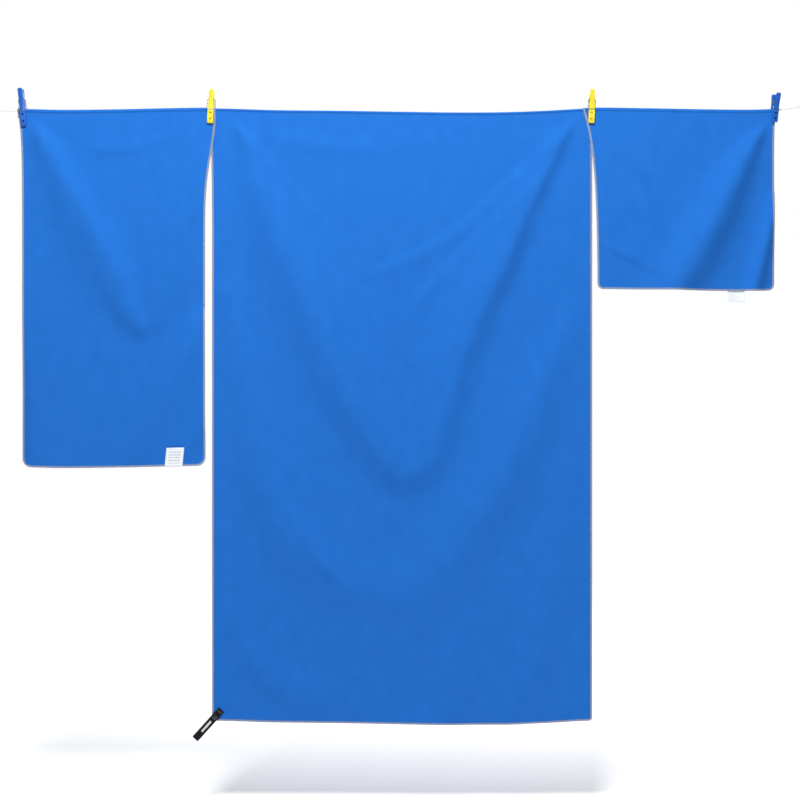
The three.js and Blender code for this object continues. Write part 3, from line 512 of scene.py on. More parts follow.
TOWELS = [
    Towel("large", 0.0044, 0.798, 1.283, 0.006, 0,
          {"left": (0.0084, 0.060, 1.0), "right": (0.0008, 0.060, 1.0)},
          [(-0.397, 0.022, 0.13), (0.402, 0.022, 0.13)], [
              [(0.012, 0.004, 1, 10, 8), (0.063, 0.021, 4, 14, 12), (0.131, 0.128, 14, 30, 40),
               (0.205, 0.239, 22, 60, 54), (0.273, 0.34, 26, 68, 58), (0.352, 0.452, 26, 66, 56),
               (0.421, 0.527, 23, 60, 48), (0.473, 0.573, 19, 58, 44), (0.513, 0.586, 16, 56, 42),
               (0.563, 0.566, 15, 56, 40), (0.602, 0.507, 16, 58, 38), (0.647, 0.409, 17, 62, 34),
               (0.71, 0.314, 18, 66, 32), (0.763, 0.249, 18, 62, 29), (0.816, 0.169, 14, 50, 24),
               (0.871, 0.105, 10, 34, 18), (0.942, 0.025, 5, 15, 11), (0.985, 0.006, 1, 10, 8)],
              [(0.045, 0.3, 3, 30, 34), (0.105, 0.488, 12, 42, 50), (0.142, 0.602, 17, 50, 54),
               (0.192, 0.684, 18, 52, 54), (0.263, 0.736, 15, 50, 56), (0.35, 0.769, 12, 52, 60),
               (0.429, 0.782, 10, 56, 64), (0.508, 0.786, 9, 60, 66), (0.568, 0.776, 10, 58, 64),
               (0.616, 0.736, 13, 56, 62), (0.7, 0.655, 16, 54, 60), (0.8, 0.55, 16, 52, 56),
               (0.876, 0.439, 12, 46, 48), (0.96, 0.32, 3, 30, 30)],
              [(0.03, 0.78, 0, 20, 20), (0.08, 0.87, 8, 30, 28), (0.16, 0.935, 9, 36, 28),
               (0.3, 0.97, 6, 40, 28), (0.42, 0.985, 0, 40, 26)],
              [(0.39, 0.27, 0, 9, 22), (0.495, 0.245, 2.6, 10, 24), (0.626, 0.201, 3, 10, 24),
               (0.76, 0.128, 2.4, 10, 20), (0.915, 0.04, 0.5, 8, 12)],
              [(0.48, 0.357, 0, 9, 22), (0.574, 0.283, 2.6, 10, 24), (0.705, 0.201, 2.2, 10, 22),
               (0.863, 0.103, 0.5, 8, 12)],
              [(0.047, 0.016, 0.5, 8, 10), (0.152, 0.087, 2.4, 10, 18), (0.258, 0.16, 2.8, 11, 22),
               (0.35, 0.226, 0, 11, 22)],
              [(0.19, 0.64, 0, 14, 14), (0.245, 0.69, 5, 15, 17), (0.31, 0.75, 6, 15, 17),
               (0.385, 0.795, 0, 14, 14)],
              [(0.07, 0.03, 0, 18, 16), (0.25, 0.055, 2.2, 22, 18), (0.45, 0.06, 1.6, 24, 20),
               (0.62, 0.045, 0, 18, 16)],
              [(0.42, 1.0, 2, 30, 30), (0.62, 0.99, 6, 34, 30), (0.64, 0.9, 5, 34, 30),
               (0.65, 0.82, 0, 34, 30)],
              [(0.78, 1.0, 4, 30, 30), (0.85, 0.9, 6, 34, 34), (0.9, 0.76, 4, 34, 34),
               (0.93, 0.62, 0, 30, 30)],
          ], 1.0),
    Towel("medium", -0.6011, 0.384, 0.748, 0.018, 1,
          {"left": (0.010, 0.045, 1.0), "right": (0.0225, 0.120, 2.2)},
          [(-0.792, 0.020, 0.05), (-0.397, 0.022, 0.13)], [
              [(0.02, 0.01, 1, 8, 6), (0.053, 0.029, 4, 11, 9), (0.151, 0.108, 12, 20, 34),
               (0.326, 0.271, 18, 26, 56), (0.479, 0.417, 18, 30, 54), (0.578, 0.543, 14, 32, 36),
               (0.64, 0.6, 10, 32, 26), (0.7, 0.58, 8, 30, 30), (0.75, 0.48, 10, 26, 44),
               (0.82, 0.35, 11, 22, 46), (0.905, 0.22, 9, 18, 34), (0.97, 0.12, 4, 10, 16),
               (1.01, 0.05, 1, 8, 8)],
              [(0.6, 0.99, 3, 22, 34), (0.67, 0.92, 8, 22, 40), (0.76, 0.81, 12, 22, 42),
               (0.87, 0.69, 12, 22, 36), (0.97, 0.58, 6, 18, 24)],
              [(0.0, 0.6, -1, 12, 12), (0.0, 0.75, -5, 14, 14), (0.0, 1.0, -5, 14, 14)],
              [(0.95, 1.02, -7, 28, 28), (1.03, 0.93, -9, 30, 30)],
              [(0.17, 0.79, 0, 18, 14), (0.33, 0.7, 2.6, 20, 14), (0.48, 0.64, 0, 18, 14)],
              [(0.24, 0.055, 0, 14, 12), (0.48, 0.11, 2.2, 18, 13), (0.72, 0.09, 1.8, 16, 12),
               (0.88, 0.05, 0, 12, 10)],
          ], 0.72),
    Towel("small", 0.6001, 0.370, 0.377, 0.012, 1,
          {"left": (0.031, 0.095, 1.0), "right": (0.0045, 0.025, 1.0)},
          [(0.402, 0.024, 0.13), (0.787, 0.020, 0.05)], [
              [(0.41, 1.06, 19, 42, 38), (0.465, 0.947, 23, 44, 40), (0.532, 0.836, 26, 46, 42),
               (0.655, 0.613, 26, 44, 40), (0.78, 0.362, 20, 35, 32), (0.88, 0.18, 11, 19, 18),
               (0.949, 0.084, 4, 10, 9), (0.99, 0.03, 1, 8, 6)],
              [(0.87, 1.05, 12, 18, 18), (0.945, 0.752, 13, 19, 16), (1.01, 0.48, 7, 15, 14)],
              [(0.01, 0.74, 1, 16, 8), (0.18, 0.82, 4, 18, 9), (0.35, 0.9, 1, 16, 9)],
              [(0.08, 0.12, 0, 14, 12), (0.22, 0.36, 2.2, 16, 14), (0.3, 0.62, 2, 18, 14),
               (0.33, 0.82, 0, 16, 14)],
          ], 0.6),
]


def swings(piece):
    """Bakes the piece's placement into its mesh."""
    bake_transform(piece)


# ---------------------------------------------------------------- the cloth

def microfibre(sizes):
    """Brushed suede knit: the nap is mottled in broad strokes and fine grain, over a fine knitted rib."""
    material, start, link = new_material("microfibre", roughness=0.92, sheen_weight=0.16, sheen_roughness=0.4,
                                         sheen_tint=(0.25, 0.6, 1.0, 1.0), specular_ior_level=0.2)
    place = flat_place(start)
    strokes = place.stretched((34.0, 22.0, 1.0)).noise(1.0, 4.0, 0.6)
    grain = place.stretched((620.0, 460.0, 1.0)).noise(1.0, 3.0, 0.65)
    brushed = (strokes * 0.7 + grain * 0.6 - 0.15).clamped()
    across, down = place.parts()
    rib = (across * 7200.0).wave() * (down * 5200.0).wave()
    link(base_color=brushed.between(tuple(sizes.deep), tuple(sizes.pale)),
         normal=(grain * 1.0 + rib * 0.18 + strokes * 0.5).bump(0.5, 0.0004))
    return material


def cloth_piece(towel, sizes, material):
    """The whole towel as one sheet: a grid over its flat size, hung by Towel.hang."""
    cell = sizes.grid * towel.cell
    columns = round(towel.width / cell)
    low = towel.bottom - towel.corner
    bends = np.linspace(HEM - towel.fall - 0.001, towel.front_start + 0.001, 18)
    turn = np.linspace(0, np.pi / 2, 2 + round(towel.corner * 1.2 / cell))[1:]
    s = np.concatenate([
        np.linspace(EDGE_TUCK, bends[0], 4)[:-1], bends,
        np.linspace(bends[-1], low, round((low - bends[-1]) / cell))[1:],
        low + (towel.corner - EDGE_TUCK) * np.sin(turn),
    ])
    depth = np.maximum(0, s - towel.front_start + towel.fall)
    drawn = EDGE_TUCK + towel.inset(s, towel.corner - EDGE_TUCK, towel.corner)
    left, right = towel.edge("left", depth) + drawn, towel.edge("right", depth) - drawn
    share = np.linspace(0, 1, columns + 1)
    x = left[:, None] + (right - left)[:, None] * share
    s = np.broadcast_to(s[:, None], x.shape)
    shell = Shell().add(towel.hang(x, s), np.stack([x, s], -1), flip=True)
    piece = shell.piece(f"{towel.name}_towel", material)
    add_modifier(piece, "SOLIDIFY", thickness=sizes.thickness, offset=0.0, use_even_offset=False)
    return piece


class TOWELS_OT_cloth(Operator):
    """Makes the three towels, each one sheet over the line"""
    bl_idname = "towels.cloth"
    bl_label = "Make the towels"

    def execute(self, context):
        sizes = context.scene.towel_cloth
        material = microfibre(sizes)
        for towel in TOWELS:
            piece = cloth_piece(towel, sizes, material)
            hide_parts(f"{towel.name}_towel_band", f"{towel.name}_towel_drop")
            swings(piece)
        return {"FINISHED"}


# ---------------------------------------------------------------- the overlocked edging

def edging_material(name, colour):
    """Fluffed yarn: its plies run slantwise round it, with painted shade in the grooves between them and the
    random tone of the fluff.
    """
    material, start, link = new_material(name, roughness=0.85, sheen_weight=0.3, sheen_roughness=0.5,
                                         specular_ior_level=0.3)
    place = flat_place(start)
    along, around = place.parts()
    plies = (along * 9000.0 + around * 6000.0).wave() * 0.5 + 0.5
    fluff = place.stretched((900.0, 1600.0, 1.0)).noise(1.0, 2.0)
    # Painted shade: the yarn is darker in the grooves between its plies, mixed with the random tone of the
    # fluff.
    ply_shade_and_fluff = (plies * 0.5 + fluff * 0.6).clamped()
    link(base_color=ply_shade_and_fluff.between(shaded(colour, 0.72), tuple(colour)),
         normal=(plies + fluff).bump(0.6, 0.00008))
    return material


OUTLINE_POINTS = 2400
OUTLINE_STEP = 0.0004               # share of the way round over which the edge's direction is taken
BESIDE = 0.0002                     # share of the way round, or distance, to a point beside another
YARN_POINTS, SEAM_POINTS = 8, 3     # points on one stitch of each
YARN_OVERHANG = 0.0003              # the yarn stands out this far past the raw edge
SEAM_SHARE = 0.9                    # the seam's place, as a share of the edging's width
SEAM_LIFT, SEAM_DIP = 0.00018, 0.0001
SEAM_RADII = (0.00028, 0.0002)


def edging_pieces(towel, sizes, yarn, thread):
    """The yarn is a helix round the raw edge: it goes over the front from the seam to the edge and back
    behind, in a flat oval, and moves on by one stitch each turn. The seam thread dips at each stitch."""
    outline = towel.outline(OUTLINE_POINTS)
    shares = np.arange(OUTLINE_POINTS) / (OUTLINE_POINTS - 1)
    stitches = round(distance_along(outline)[-1] / sizes.stitch)

    def place_on(place, inward, lift):
        """Points at shares of the way round, inward from the raw edge and lifted along the normal."""
        ahead = path_at(outline, shares, (place + OUTLINE_STEP) % 1)
        behind = path_at(outline, shares, (place - OUTLINE_STEP) % 1)
        forward = unit(ahead - behind)
        side = np.stack([forward[:, 1], -forward[:, 0]], 1)
        flat = path_at(outline, shares, place) + side * inward[:, None]
        point, normal = towel.hang_with_normal(flat[:, 0], np.maximum(flat[:, 1], 0))
        return point + normal * lift[:, None]

    reach = sizes.width / 2
    lift = (bpy.context.scene.towel_cloth.thickness + sizes.yarn_height) / 2
    turn = np.arange(stitches * YARN_POINTS + 1) / YARN_POINTS
    place = turn / turn[-1]
    angle = 2 * np.pi * (turn % 1)
    inward = reach - YARN_OVERHANG - reach * np.cos(angle)
    wave = np.sin(angle)
    up = lift * np.sign(wave) * np.abs(wave) ** 0.5
    path = place_on(place, inward, up)
    beside = place_on((place + BESIDE) % 1, inward, up)
    shell = Shell().add_tube(path, (sizes.yarn_width / 2, sizes.yarn_height / 2), 5,
                             unit(beside - path + 1e-12))
    edging = shell.piece(f"{towel.name}_edging", yarn)

    turn = np.arange(stitches * SEAM_POINTS + 1) / SEAM_POINTS
    place = turn / turn[-1]
    inward = np.full(len(place), sizes.width * SEAM_SHARE)
    up = lift + SEAM_LIFT + SEAM_DIP * np.cos(2 * np.pi * turn)
    path = place_on(place, inward, up)
    beside = place_on(place, inward + BESIDE, up)
    shell = Shell().add_tube(path, SEAM_RADII, 4, unit(beside - path + 1e-12))
    return edging, shell.piece(f"{towel.name}_seam", thread)


class TOWELS_OT_edging(Operator):
    """Makes the overlocked yarn and seam thread round each towel"""
    bl_idname = "towels.edging"
    bl_label = "Make the edging"

    def execute(self, context):
        sizes = context.scene.towel_edging
        yarn = edging_material("overlock_yarn", sizes.yarn)
        thread = edging_material("needle_thread", sizes.thread)
        for towel in TOWELS:
            edging, seam = edging_pieces(towel, sizes, yarn, thread)
            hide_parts(f"{towel.name}_band_edging", f"{towel.name}_drop_edging")
            for piece in (edging, seam):
                swings(piece)
        return {"FINISHED"}


# ---------------------------------------------------------------- the line

KNOT_LENGTH = 0.014
KNOT_TURNS = 4
LOOP_REACH = (0.01625, 0.013)       # half the loop's length and height
LOOP_OPEN = 0.93 * math.pi          # the loop stops short of a full oval, where it enters the knot
STRANDS = 4                         # strands of the braid in each direction


def braid(sizes):
    """Braided cord: two families of strands cross each other round the cord. Their crowns are painted lighter
    and the gaps between them darker, as painted shade.
    """
    material, start, link = new_material("braided_line", roughness=0.75)
    along, around = flat_place(start).parts()
    turn = 2 * math.pi / sizes.plait
    wind = 2 * STRANDS / sizes.diameter
    lay = along * (turn * STRANDS)
    strands = (lay + around * wind).wave() * (lay - around * wind).wave()
    # Painted shade: the cord is darker in the gaps between its strands and paler on their crowns.
    light = (strands * 0.5 + 0.5).clamped()
    link(base_color=light.between(shaded(sizes.cord, 0.72), tuple(sizes.cord)),
         normal=light.bump(0.5, 0.0002))
    return material


def end_loop(name, end, sign, sizes, material):
    """The line's tied end: an oval loop in the upright plane, whose two sides run into a knot of turns
    wound round the line, and a short tail."""
    radius = sizes.diameter / 2
    end = np.array(end)
    knot = end + [sign * (KNOT_LENGTH / 2 - 0.0006), 0, 0]
    outward, upward = np.array([sign, 0, 0]), np.array([0, 0, 1.0])
    middle = knot + outward * (KNOT_LENGTH / 2 + LOOP_REACH[1])
    angle = np.linspace(-LOOP_OPEN, LOOP_OPEN, 72)[:, None]
    oval = middle + LOOP_REACH[0] * np.cos(angle) * outward + LOOP_REACH[1] * np.sin(angle) * upward
    feet = [knot + outward * 0.0045 + upward * height for height in (-0.0012, 0.0012)]
    path = even_path(smooth_path([feet[0], *oval[::6], oval[-1], feet[1]], 8), 110)
    shell = Shell().add_tube(path, (radius, radius), 10, (0.0, 1.0, 0.0))
    turns = np.linspace(0, 1, 24 * KNOT_TURNS + 1)[:, None]
    spin = 2 * np.pi * KNOT_TURNS * turns
    reach = 2.0 * radius + 0.0004 * np.sin(np.pi * turns)
    coil = (knot + outward * (KNOT_LENGTH - sizes.diameter) * (turns - 0.5)
            + reach * (np.cos(spin) * np.array([0, 1.0, 0]) + np.sin(spin) * upward))
    wound = (radius * 0.95, radius * 0.95)
    shell.add_tube(coil, wound, 10, outward)
    start = coil[0]
    tail = smooth_path([start, start + [-sign * 0.002, 0.0008, 0.0006],
                        start + [-sign * 0.006, 0.0012, 0.0002]], 8)
    shell.add_tube(tail, wound, 10, (0.0, 1.0, 0.0))
    piece = shell.piece(name, material)
    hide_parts(name.replace("rope", "end"))
    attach(piece, ROOT)
    return piece


class TOWELS_OT_line(Operator):
    """Makes the braided line and its two tied ends"""
    bl_idname = "towels.line"
    bl_label = "Make the line"

    def execute(self, context):
        sizes = context.scene.towel_line
        material = braid(sizes)
        loops = [end_loop("left_rope_loop", LINE_ROUTE[0], -1, sizes, material),
                 end_loop("right_rope_loop", LINE_ROUTE[-1], 1, sizes, material)]
        radii = (sizes.diameter / 2, sizes.diameter / 2)
        line = Shell().add_tube(even_path(LINE, 700), radii, 12, (0.0, 1.0, 0.0)).piece("line", material)
        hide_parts("clothes_line")
        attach(line, ROOT)
        return {"FINISHED"}


# ---------------------------------------------------------------- care labels

LABELS = {
    # towel, width, height, x of its middle, depth of the sewn end and of the free end, side, slant
    "medium_label": (TOWELS[1], 0.037, 0.040, -0.4756, 0.7488, 0.7088, 1, 0.11),
    "small_label": (TOWELS[2], 0.034, 0.032, 0.7051, 0.3670, 0.3990, -1, 0.0),
}
LABEL_LIFT = 0.0014                 # from the cloth's middle to the tape
LABEL_CURL, LABEL_BOW = 0.0022, 0.0005    # how far the free end stands off, and its middle beyond that
LINES_REACH = (0.0125, 0.014)       # half the width and half the height that the faint lines fill
LINES_MIDDLE = 0.021                # from the sewn end
STITCH_COUNT, STITCH_LENGTH = 9, 0.0024
STITCH_LIFT, STITCH_BOW = 0.00012, 0.00028


def satin(sizes, lines):
    """Woven satin tape, and faint lines across the larger label."""
    material, start, link = new_material(f"satin_{'lined' if lines else 'plain'}", roughness=0.5,
                                         sheen_weight=0.2, specular_ior_level=0.45)
    place = flat_place(start)
    across, down = place.parts()
    weave = (across * 14000.0).wave() * 0.5 + 0.5
    thread = place.stretched((400.0, 2600.0, 1.0)).noise(1.0, 2.0)
    tape = (thread * 0.5 + 0.5).clamped().between(shaded(sizes.tape, 0.86), tuple(sizes.tape))
    if lines:
        wave = (down * (2 * math.pi / sizes.line_gap)).wave()
        rows = wave.math("GREATER_THAN", wave, 0.5)
        inside = across.math("LESS_THAN", across.math("ABSOLUTE", across), LINES_REACH[0])
        depth = down.math("LESS_THAN", down.math("ABSOLUTE", down - LINES_MIDDLE), LINES_REACH[1])
        words = place.stretched((420.0, 240.0, 1.0)).noise(1.0, 0.0)
        ink = (rows * inside * depth * (words * 2.2 - 0.4).clamped()) * 0.9
        tape = ink.between(tape, tuple(sizes.print_grey))
    link(base_color=tape, normal=(weave * 0.5 + thread).bump(0.35, 0.0001))
    return material


def label_piece(name, sizes, material):
    """The tape follows the cloth at a small height, which grows as the square of the distance from the
    sewn end. Past the hem it hangs straight down."""
    towel, width, height, middle, sewn, free, side, slant = LABELS[name]
    across, along = np.meshgrid(np.linspace(-0.5, 0.5, 25), np.linspace(0, 1, 27))
    depth = sewn + (free - sewn) * along
    lift = LABEL_LIFT + LABEL_CURL * along ** 2 + LABEL_BOW * along * np.cos(np.pi * across)
    x = middle + width * across + slant * (sewn - depth)
    point, normal = towel.hang_with_normal(x, towel.front_start + np.minimum(depth, towel.drop) - towel.fall)
    point = point + side * normal * lift[..., None]
    point[..., 2] -= np.maximum(0, depth - towel.drop)
    grid_flat = np.stack([width * across, height * along], -1)
    piece = Shell().add(point, grid_flat, flip=(side == 1) != (free < sewn)).piece(name, material)
    add_modifier(piece, "SOLIDIFY", thickness=sizes.thickness, offset=0.0)
    return piece, point


def label_stitches(name, points, material):
    """Nine running stitches along the sewn end: each is a small bow that dips into the tape."""
    row = points[1]
    side = LABELS[name][6]
    along = distance_along(row)
    shell = Shell()
    for start in np.linspace(0.03, 0.89, STITCH_COUNT) * along[-1]:
        path = path_at(row, along, np.linspace(start, start + STITCH_LENGTH, 8))
        path[:, 1] -= side * (STITCH_LIFT + STITCH_BOW * np.sin(np.linspace(0, np.pi, 8)))
        shell.add_tube(path, (0.00022, 0.00018), 6, (0.0, 0.0, 1.0))
    return shell.piece(f"{name}_stitches", material)


class TOWELS_OT_labels(Operator):
    """Makes the two care labels and their stitches"""
    bl_idname = "towels.labels"
    bl_label = "Make the labels"

    def execute(self, context):
        sizes = context.scene.towel_labels
        thread = edging_material("label_thread", sizes.tape)
        for name, (towel, width, height, *_) in LABELS.items():
            piece, points = label_piece(name, sizes, satin(sizes, lines=name == "medium_label"))
            stitches = label_stitches(name, points, thread)
            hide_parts(name.replace("label", "care_label"))
            for part in (piece, stitches):
                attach(part, name)
        return {"FINISHED"}


# ---------------------------------------------------------------- snap hanging strap

FLAP_JOINT = next(joint for joint in frame["joints"] if joint["name"] == "strap_unsnap")
STRAP_TURN = math.radians(-48)
# Lengths along the strap from its fold, and heights off the cloth of the webbing's two layers.
STRAP = {"back_end": 0.0798, "flap_end": 0.068, "snap": 0.060, "bartack": 0.074,
         "back": 0.0017, "flap": 0.0049}
HINGE_HEIGHT = 0.0043               # the flap's joint, off the cloth
STRIPE_MIDDLE = 0.11833             # along the webbing from its sewn end
STRIPE_REACH = (0.0145, 0.0022)     # half the stripe's length and width
YARN_GAP = 0.0007                   # from one lengthwise yarn of the webbing to the next
FLAP_TIP = 0.0012                   # the flap's end is rounded over this length
TACK_POINTS = 69
TACK_REACH = (0.0011, 0.0056)       # half the bar tack's size along and across the strap
TACK_HEIGHT = 0.00263
# Each piece of the snap: its body, and its profile of radius and height off the cloth in tenths of a
# millimetre.
SNAP_PROFILES = {
    "snap_cap": ("strap_flap", [(2, 56), (50, 56), (57, 58), (59, 62), (56, 67), (50, 70), (46, 69.5),
                                (42, 72), (30, 74), (15, 75), (2, 75)]),
    "snap_socket": ("strap_flap", [(22, 41), (22, 36), (25, 34), (43, 34), (46, 36), (46, 42), (22, 42)]),
    "snap_stud": ("large_drop", [(2, 26), (45, 26), (46, 29), (44, 31), (20, 31), (16, 34), (18, 37),
                                 (16, 40), (2, 40)]),
    "snap_post": ("large_drop", [(2, 3), (44, 3), (46, 5), (44, 8), (2, 8)]),
}


def strap_place(points):
    """From the strap's own frame (length, height off the cloth, across) to the row frame."""
    length, height, across = np.moveaxis(np.asarray(points, float), -1, 0)
    hinge = np.array(FLAP_JOINT["pos_m"])
    cos, sin = math.cos(STRAP_TURN), math.sin(STRAP_TURN)
    x = length * cos + across * sin
    z = -length * sin + across * cos
    return np.stack([hinge[0] + x, hinge[1] + HINGE_HEIGHT - height, hinge[2] + z], -1)


def webbing(sizes):
    """Ribbed black webbing with a plain pale stripe along the middle of the flap. The black is painted darker
    between its ribs and yarns, as painted shade.
    """
    material, start, link = new_material("webbing", roughness=0.85, sheen_weight=0.03, specular_ior_level=0.2)
    place = flat_place(start)
    along, across = place.parts()
    rib = (along * (2 * math.pi / sizes.rib)).wave()
    yarn = (across * (2 * math.pi / YARN_GAP)).wave()
    fluff = place.stretched((2600.0, 1500.0, 1.0)).noise(1.0, 2.0)
    middle = across.math("LESS_THAN", across.math("ABSOLUTE", across), STRIPE_REACH[1])
    stretch = along.math("LESS_THAN", along.math("ABSOLUTE", along - STRIPE_MIDDLE), STRIPE_REACH[0])
    worn = (fluff * 1.8 - 0.05).clamped()
    stripe = middle * stretch * worn
    # Painted shade: the black is darker between the ribs and yarns and paler on their crests, mixed with the
    # random tone of the fluff.
    weave = (rib * yarn * 0.25 + fluff * 0.5 + 0.25).clamped()
    black = weave.between(tuple(sizes.webbing), shaded(sizes.webbing, 2.6))
    link(base_color=stripe.between(black, tuple(sizes.stripe)),
         normal=(rib * 0.5 + yarn * 0.4 + fluff * 0.5).bump(0.6, 0.00015))
    return material


def strap_piece(sizes, material):
    """One length of webbing: a flat oval section with ribs across it, carried up the back, round the fold
    and along the flap to its rounded end."""
    back, flap = STRAP["back"], STRAP["flap"]
    radius = (flap - back) / 2
    turn = np.linspace(np.pi / 2, 3 * np.pi / 2, 24)
    fold = np.stack([radius * np.cos(turn), (back + flap) / 2 - radius * np.sin(turn)], 1)
    route = np.vstack([[[STRAP["back_end"], back]], fold, [[STRAP["flap_end"], flap]]])
    route = even_path(route, 440)
    route = np.column_stack([route, np.zeros(len(route))])
    along = distance_along(route)
    forward = unit(np.gradient(route, axis=0))
    normal = np.stack([forward[:, 1], -forward[:, 0], np.zeros(len(route))], 1)
    rib = 1 + 0.07 * np.sin(2 * np.pi * along / sizes.rib)
    end = np.sqrt(np.clip(1 - ((along - along[-1] + FLAP_TIP) / FLAP_TIP).clip(0) ** 2, 0.04, 1))
    angle = 2 * np.pi * np.arange(36) / 36
    wide = sizes.width / 2 * np.sign(np.cos(angle)) * np.abs(np.cos(angle)) ** 0.35
    thin = sizes.thickness / 2 * np.sin(angle) * (1 - 0.15 * np.abs(np.cos(angle)) ** 6)
    across = np.array([0, 0, 1.0])
    grid = (route[:, None] + (wide[None, :] * (0.96 + 0.04 * end[:, None]))[..., None] * across
            + ((thin * rib[:, None] * end[:, None])[..., None] * normal[:, None]))
    flat = np.stack(np.broadcast_arrays(along[:, None], np.append(wide, wide[0])[None, :]), -1)
    shell = Shell().add(strap_place(grid), flat, around=True, ends=True)
    return shell.piece("strap", material)


def turned(profile, length, material, name):
    """A profile of radius and height turned round the snap's axis."""
    profile = 0.0001 * np.array(profile, float)
    radius, height = profile[:, 0, None], profile[:, 1, None]
    angle = (2 * np.pi * np.arange(40) / 40)[None, :]
    grid = np.stack(np.broadcast_arrays(length + radius * np.cos(angle), height, radius * np.sin(angle)), -1)
    flat = np.stack(np.broadcast_arrays(distance_along(profile)[:, None], np.arange(41)[None, :] / 41), -1)
    return Shell().add(strap_place(grid), flat, around=True, ends=True).piece(name, material)


def bartack(material):
    """A dense zigzag of thread across the webbing."""
    reach, half_width = TACK_REACH
    length = STRAP["bartack"] + np.where(np.arange(TACK_POINTS) % 2, reach, -reach)
    across = np.linspace(-half_width, half_width, TACK_POINTS)
    path = strap_place(np.stack([length, np.full(TACK_POINTS, TACK_HEIGHT), across], 1))
    return Shell().add_tube(path, (0.00022, 0.0002), 6, (0.0, 1.0, 0.0)).piece("bartack", material)


def snap_enamel(sizes):
    """Black enamelled metal with fine scuffs."""
    material, start, link = new_material("snap_enamel", roughness=0.3, metallic=0.6, coat_weight=0.5)
    scuffs = object_place(start).noise(900.0, 3.0)
    link(base_color=scuffs.between(tuple(sizes.enamel), shaded(sizes.enamel, 2.2)),
         roughness=scuffs * 0.25 + 0.18, normal=scuffs.bump(0.12, 0.0001))
    return material


class TOWELS_OT_strap(Operator):
    """Makes the folded strap, its bar tack and its snap"""
    bl_idname = "towels.strap"
    bl_label = "Make the strap"

    def execute(self, context):
        sizes = context.scene.towel_strap
        strap = strap_piece(sizes, webbing(sizes))
        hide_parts("strap_back", "strap_flap")
        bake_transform(strap)
        tack = bartack(edging_material("bartack_thread", sizes.thread))
        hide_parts("strap_bartack")
        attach(tack, "large_drop")

        enamel = snap_enamel(sizes)
        for node, (body, profile) in SNAP_PROFILES.items():
            piece = turned(profile, STRAP["snap"], enamel, f"turned_{node}")
            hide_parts(node)
            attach(piece, body)
        return {"FINISHED"}


# ---------------------------------------------------------------- the pegs

PEG_WIRE_CLEAR = 0.00075            # between the lever's side and the wire
PEG_COIL = 0.0029                   # radius of the coil
PEG_TURNS = 3.5
PEGS = {
    # x, length, lean, turn, width, clear opening at the jaws, colour
    "peg_1": (-0.7921, 0.080, -5.3, 0, 0.0108, 0.00315, "blue"),
    "peg_2": (-0.3970, 0.071, 2.9, 0, 0.0126, 0.00315, "yellow"),
    "peg_3": (0.4022, 0.071, 2.5, 0, 0.0126, 0.00315, "yellow"),
    "peg_4": (0.7866, 0.062, 6.8, 12, 0.0108, 0.00490, "blue"),
}
PEG_PIVOT = 0.27                    # height of the pivot over the line, as a share of the length
PEG_THICKNESS = 0.0055
PEG_GROOVE = 0.0008                 # depth of the groove that the wire lies in


def moulded(name, colour):
    """Moulded plastic: a fine satin grain, faint flow marks and paler sharp edges."""
    material, start, link = new_material(name, roughness=0.4, specular_ior_level=0.5, coat_weight=0.1,
                                         coat_roughness=0.3)
    place = object_place(start)
    grain = place.noise(2400.0, 2.0)
    flow = place.stretched((160.0, 160.0, 40.0)).noise(1.0, 2.0)
    # The surface's pointiness: the sharp edges, where it is high, are made paler.
    worn = start.node("ShaderNodeNewGeometry", output=7)
    edge = (worn * 3.0 - 1.45).clamped() * 0.35
    pale = (*(min(1.0, 1.25 * channel + 0.02) for channel in colour[:3]), 1.0)
    body = flow.between(shaded(colour, 0.86), tuple(colour))
    link(base_color=edge.between(body, pale), roughness=flow * 0.2 + 0.3, normal=grain.bump(0.12, 0.0001))
    return material


def spring_steel(sizes):
    """Drawn steel wire with a fine uneven sheen."""
    material, start, link = new_material("spring_steel", metallic=1.0, roughness=0.35)
    drawn = object_place(start).noise(1500.0, 3.0)
    link(base_color=drawn.between(shaded(sizes.steel, 0.75), tuple(sizes.steel)),
         roughness=drawn * 0.3 + 0.2, normal=drawn.bump(0.1, 0.0001))
    return material


def lever_piece(node, edge, material):
    """The lever with its flat faces joined up and its edges rounded."""
    source = frame["nodes"][node].data
    bm = bmesh.new()
    bm.from_mesh(source)
    bmesh.ops.remove_doubles(bm, verts=bm.verts, dist=1e-6)
    bmesh.ops.dissolve_limit(bm, angle_limit=math.radians(1.5), verts=bm.verts, edges=bm.edges)
    for face in bm.faces:
        face.smooth = True
    mesh = bpy.data.meshes.new(node.replace("lever", "arm"))
    bm.to_mesh(mesh)
    bm.free()
    mesh.materials.append(material)
    piece = bpy.data.objects.new(node.replace("lever", "arm"), mesh)
    bpy.context.scene.collection.objects.link(piece)
    add_modifier(piece, "BEVEL", width=edge, segments=2, limit_method="ANGLE", angle_limit=math.radians(38),
                 harden_normals=True)
    return piece


def peg_frame(name):
    """The matrix that stands a peg on the line, leaning along it and turned about the upright."""
    x, _, lean, turn, *_ = PEGS[name]
    turned_over = Euler((0, math.radians(lean), math.radians(turn))).to_matrix().to_4x4()
    return np.array(Matrix.Translation((x, 0, line_height(x))) @ turned_over)


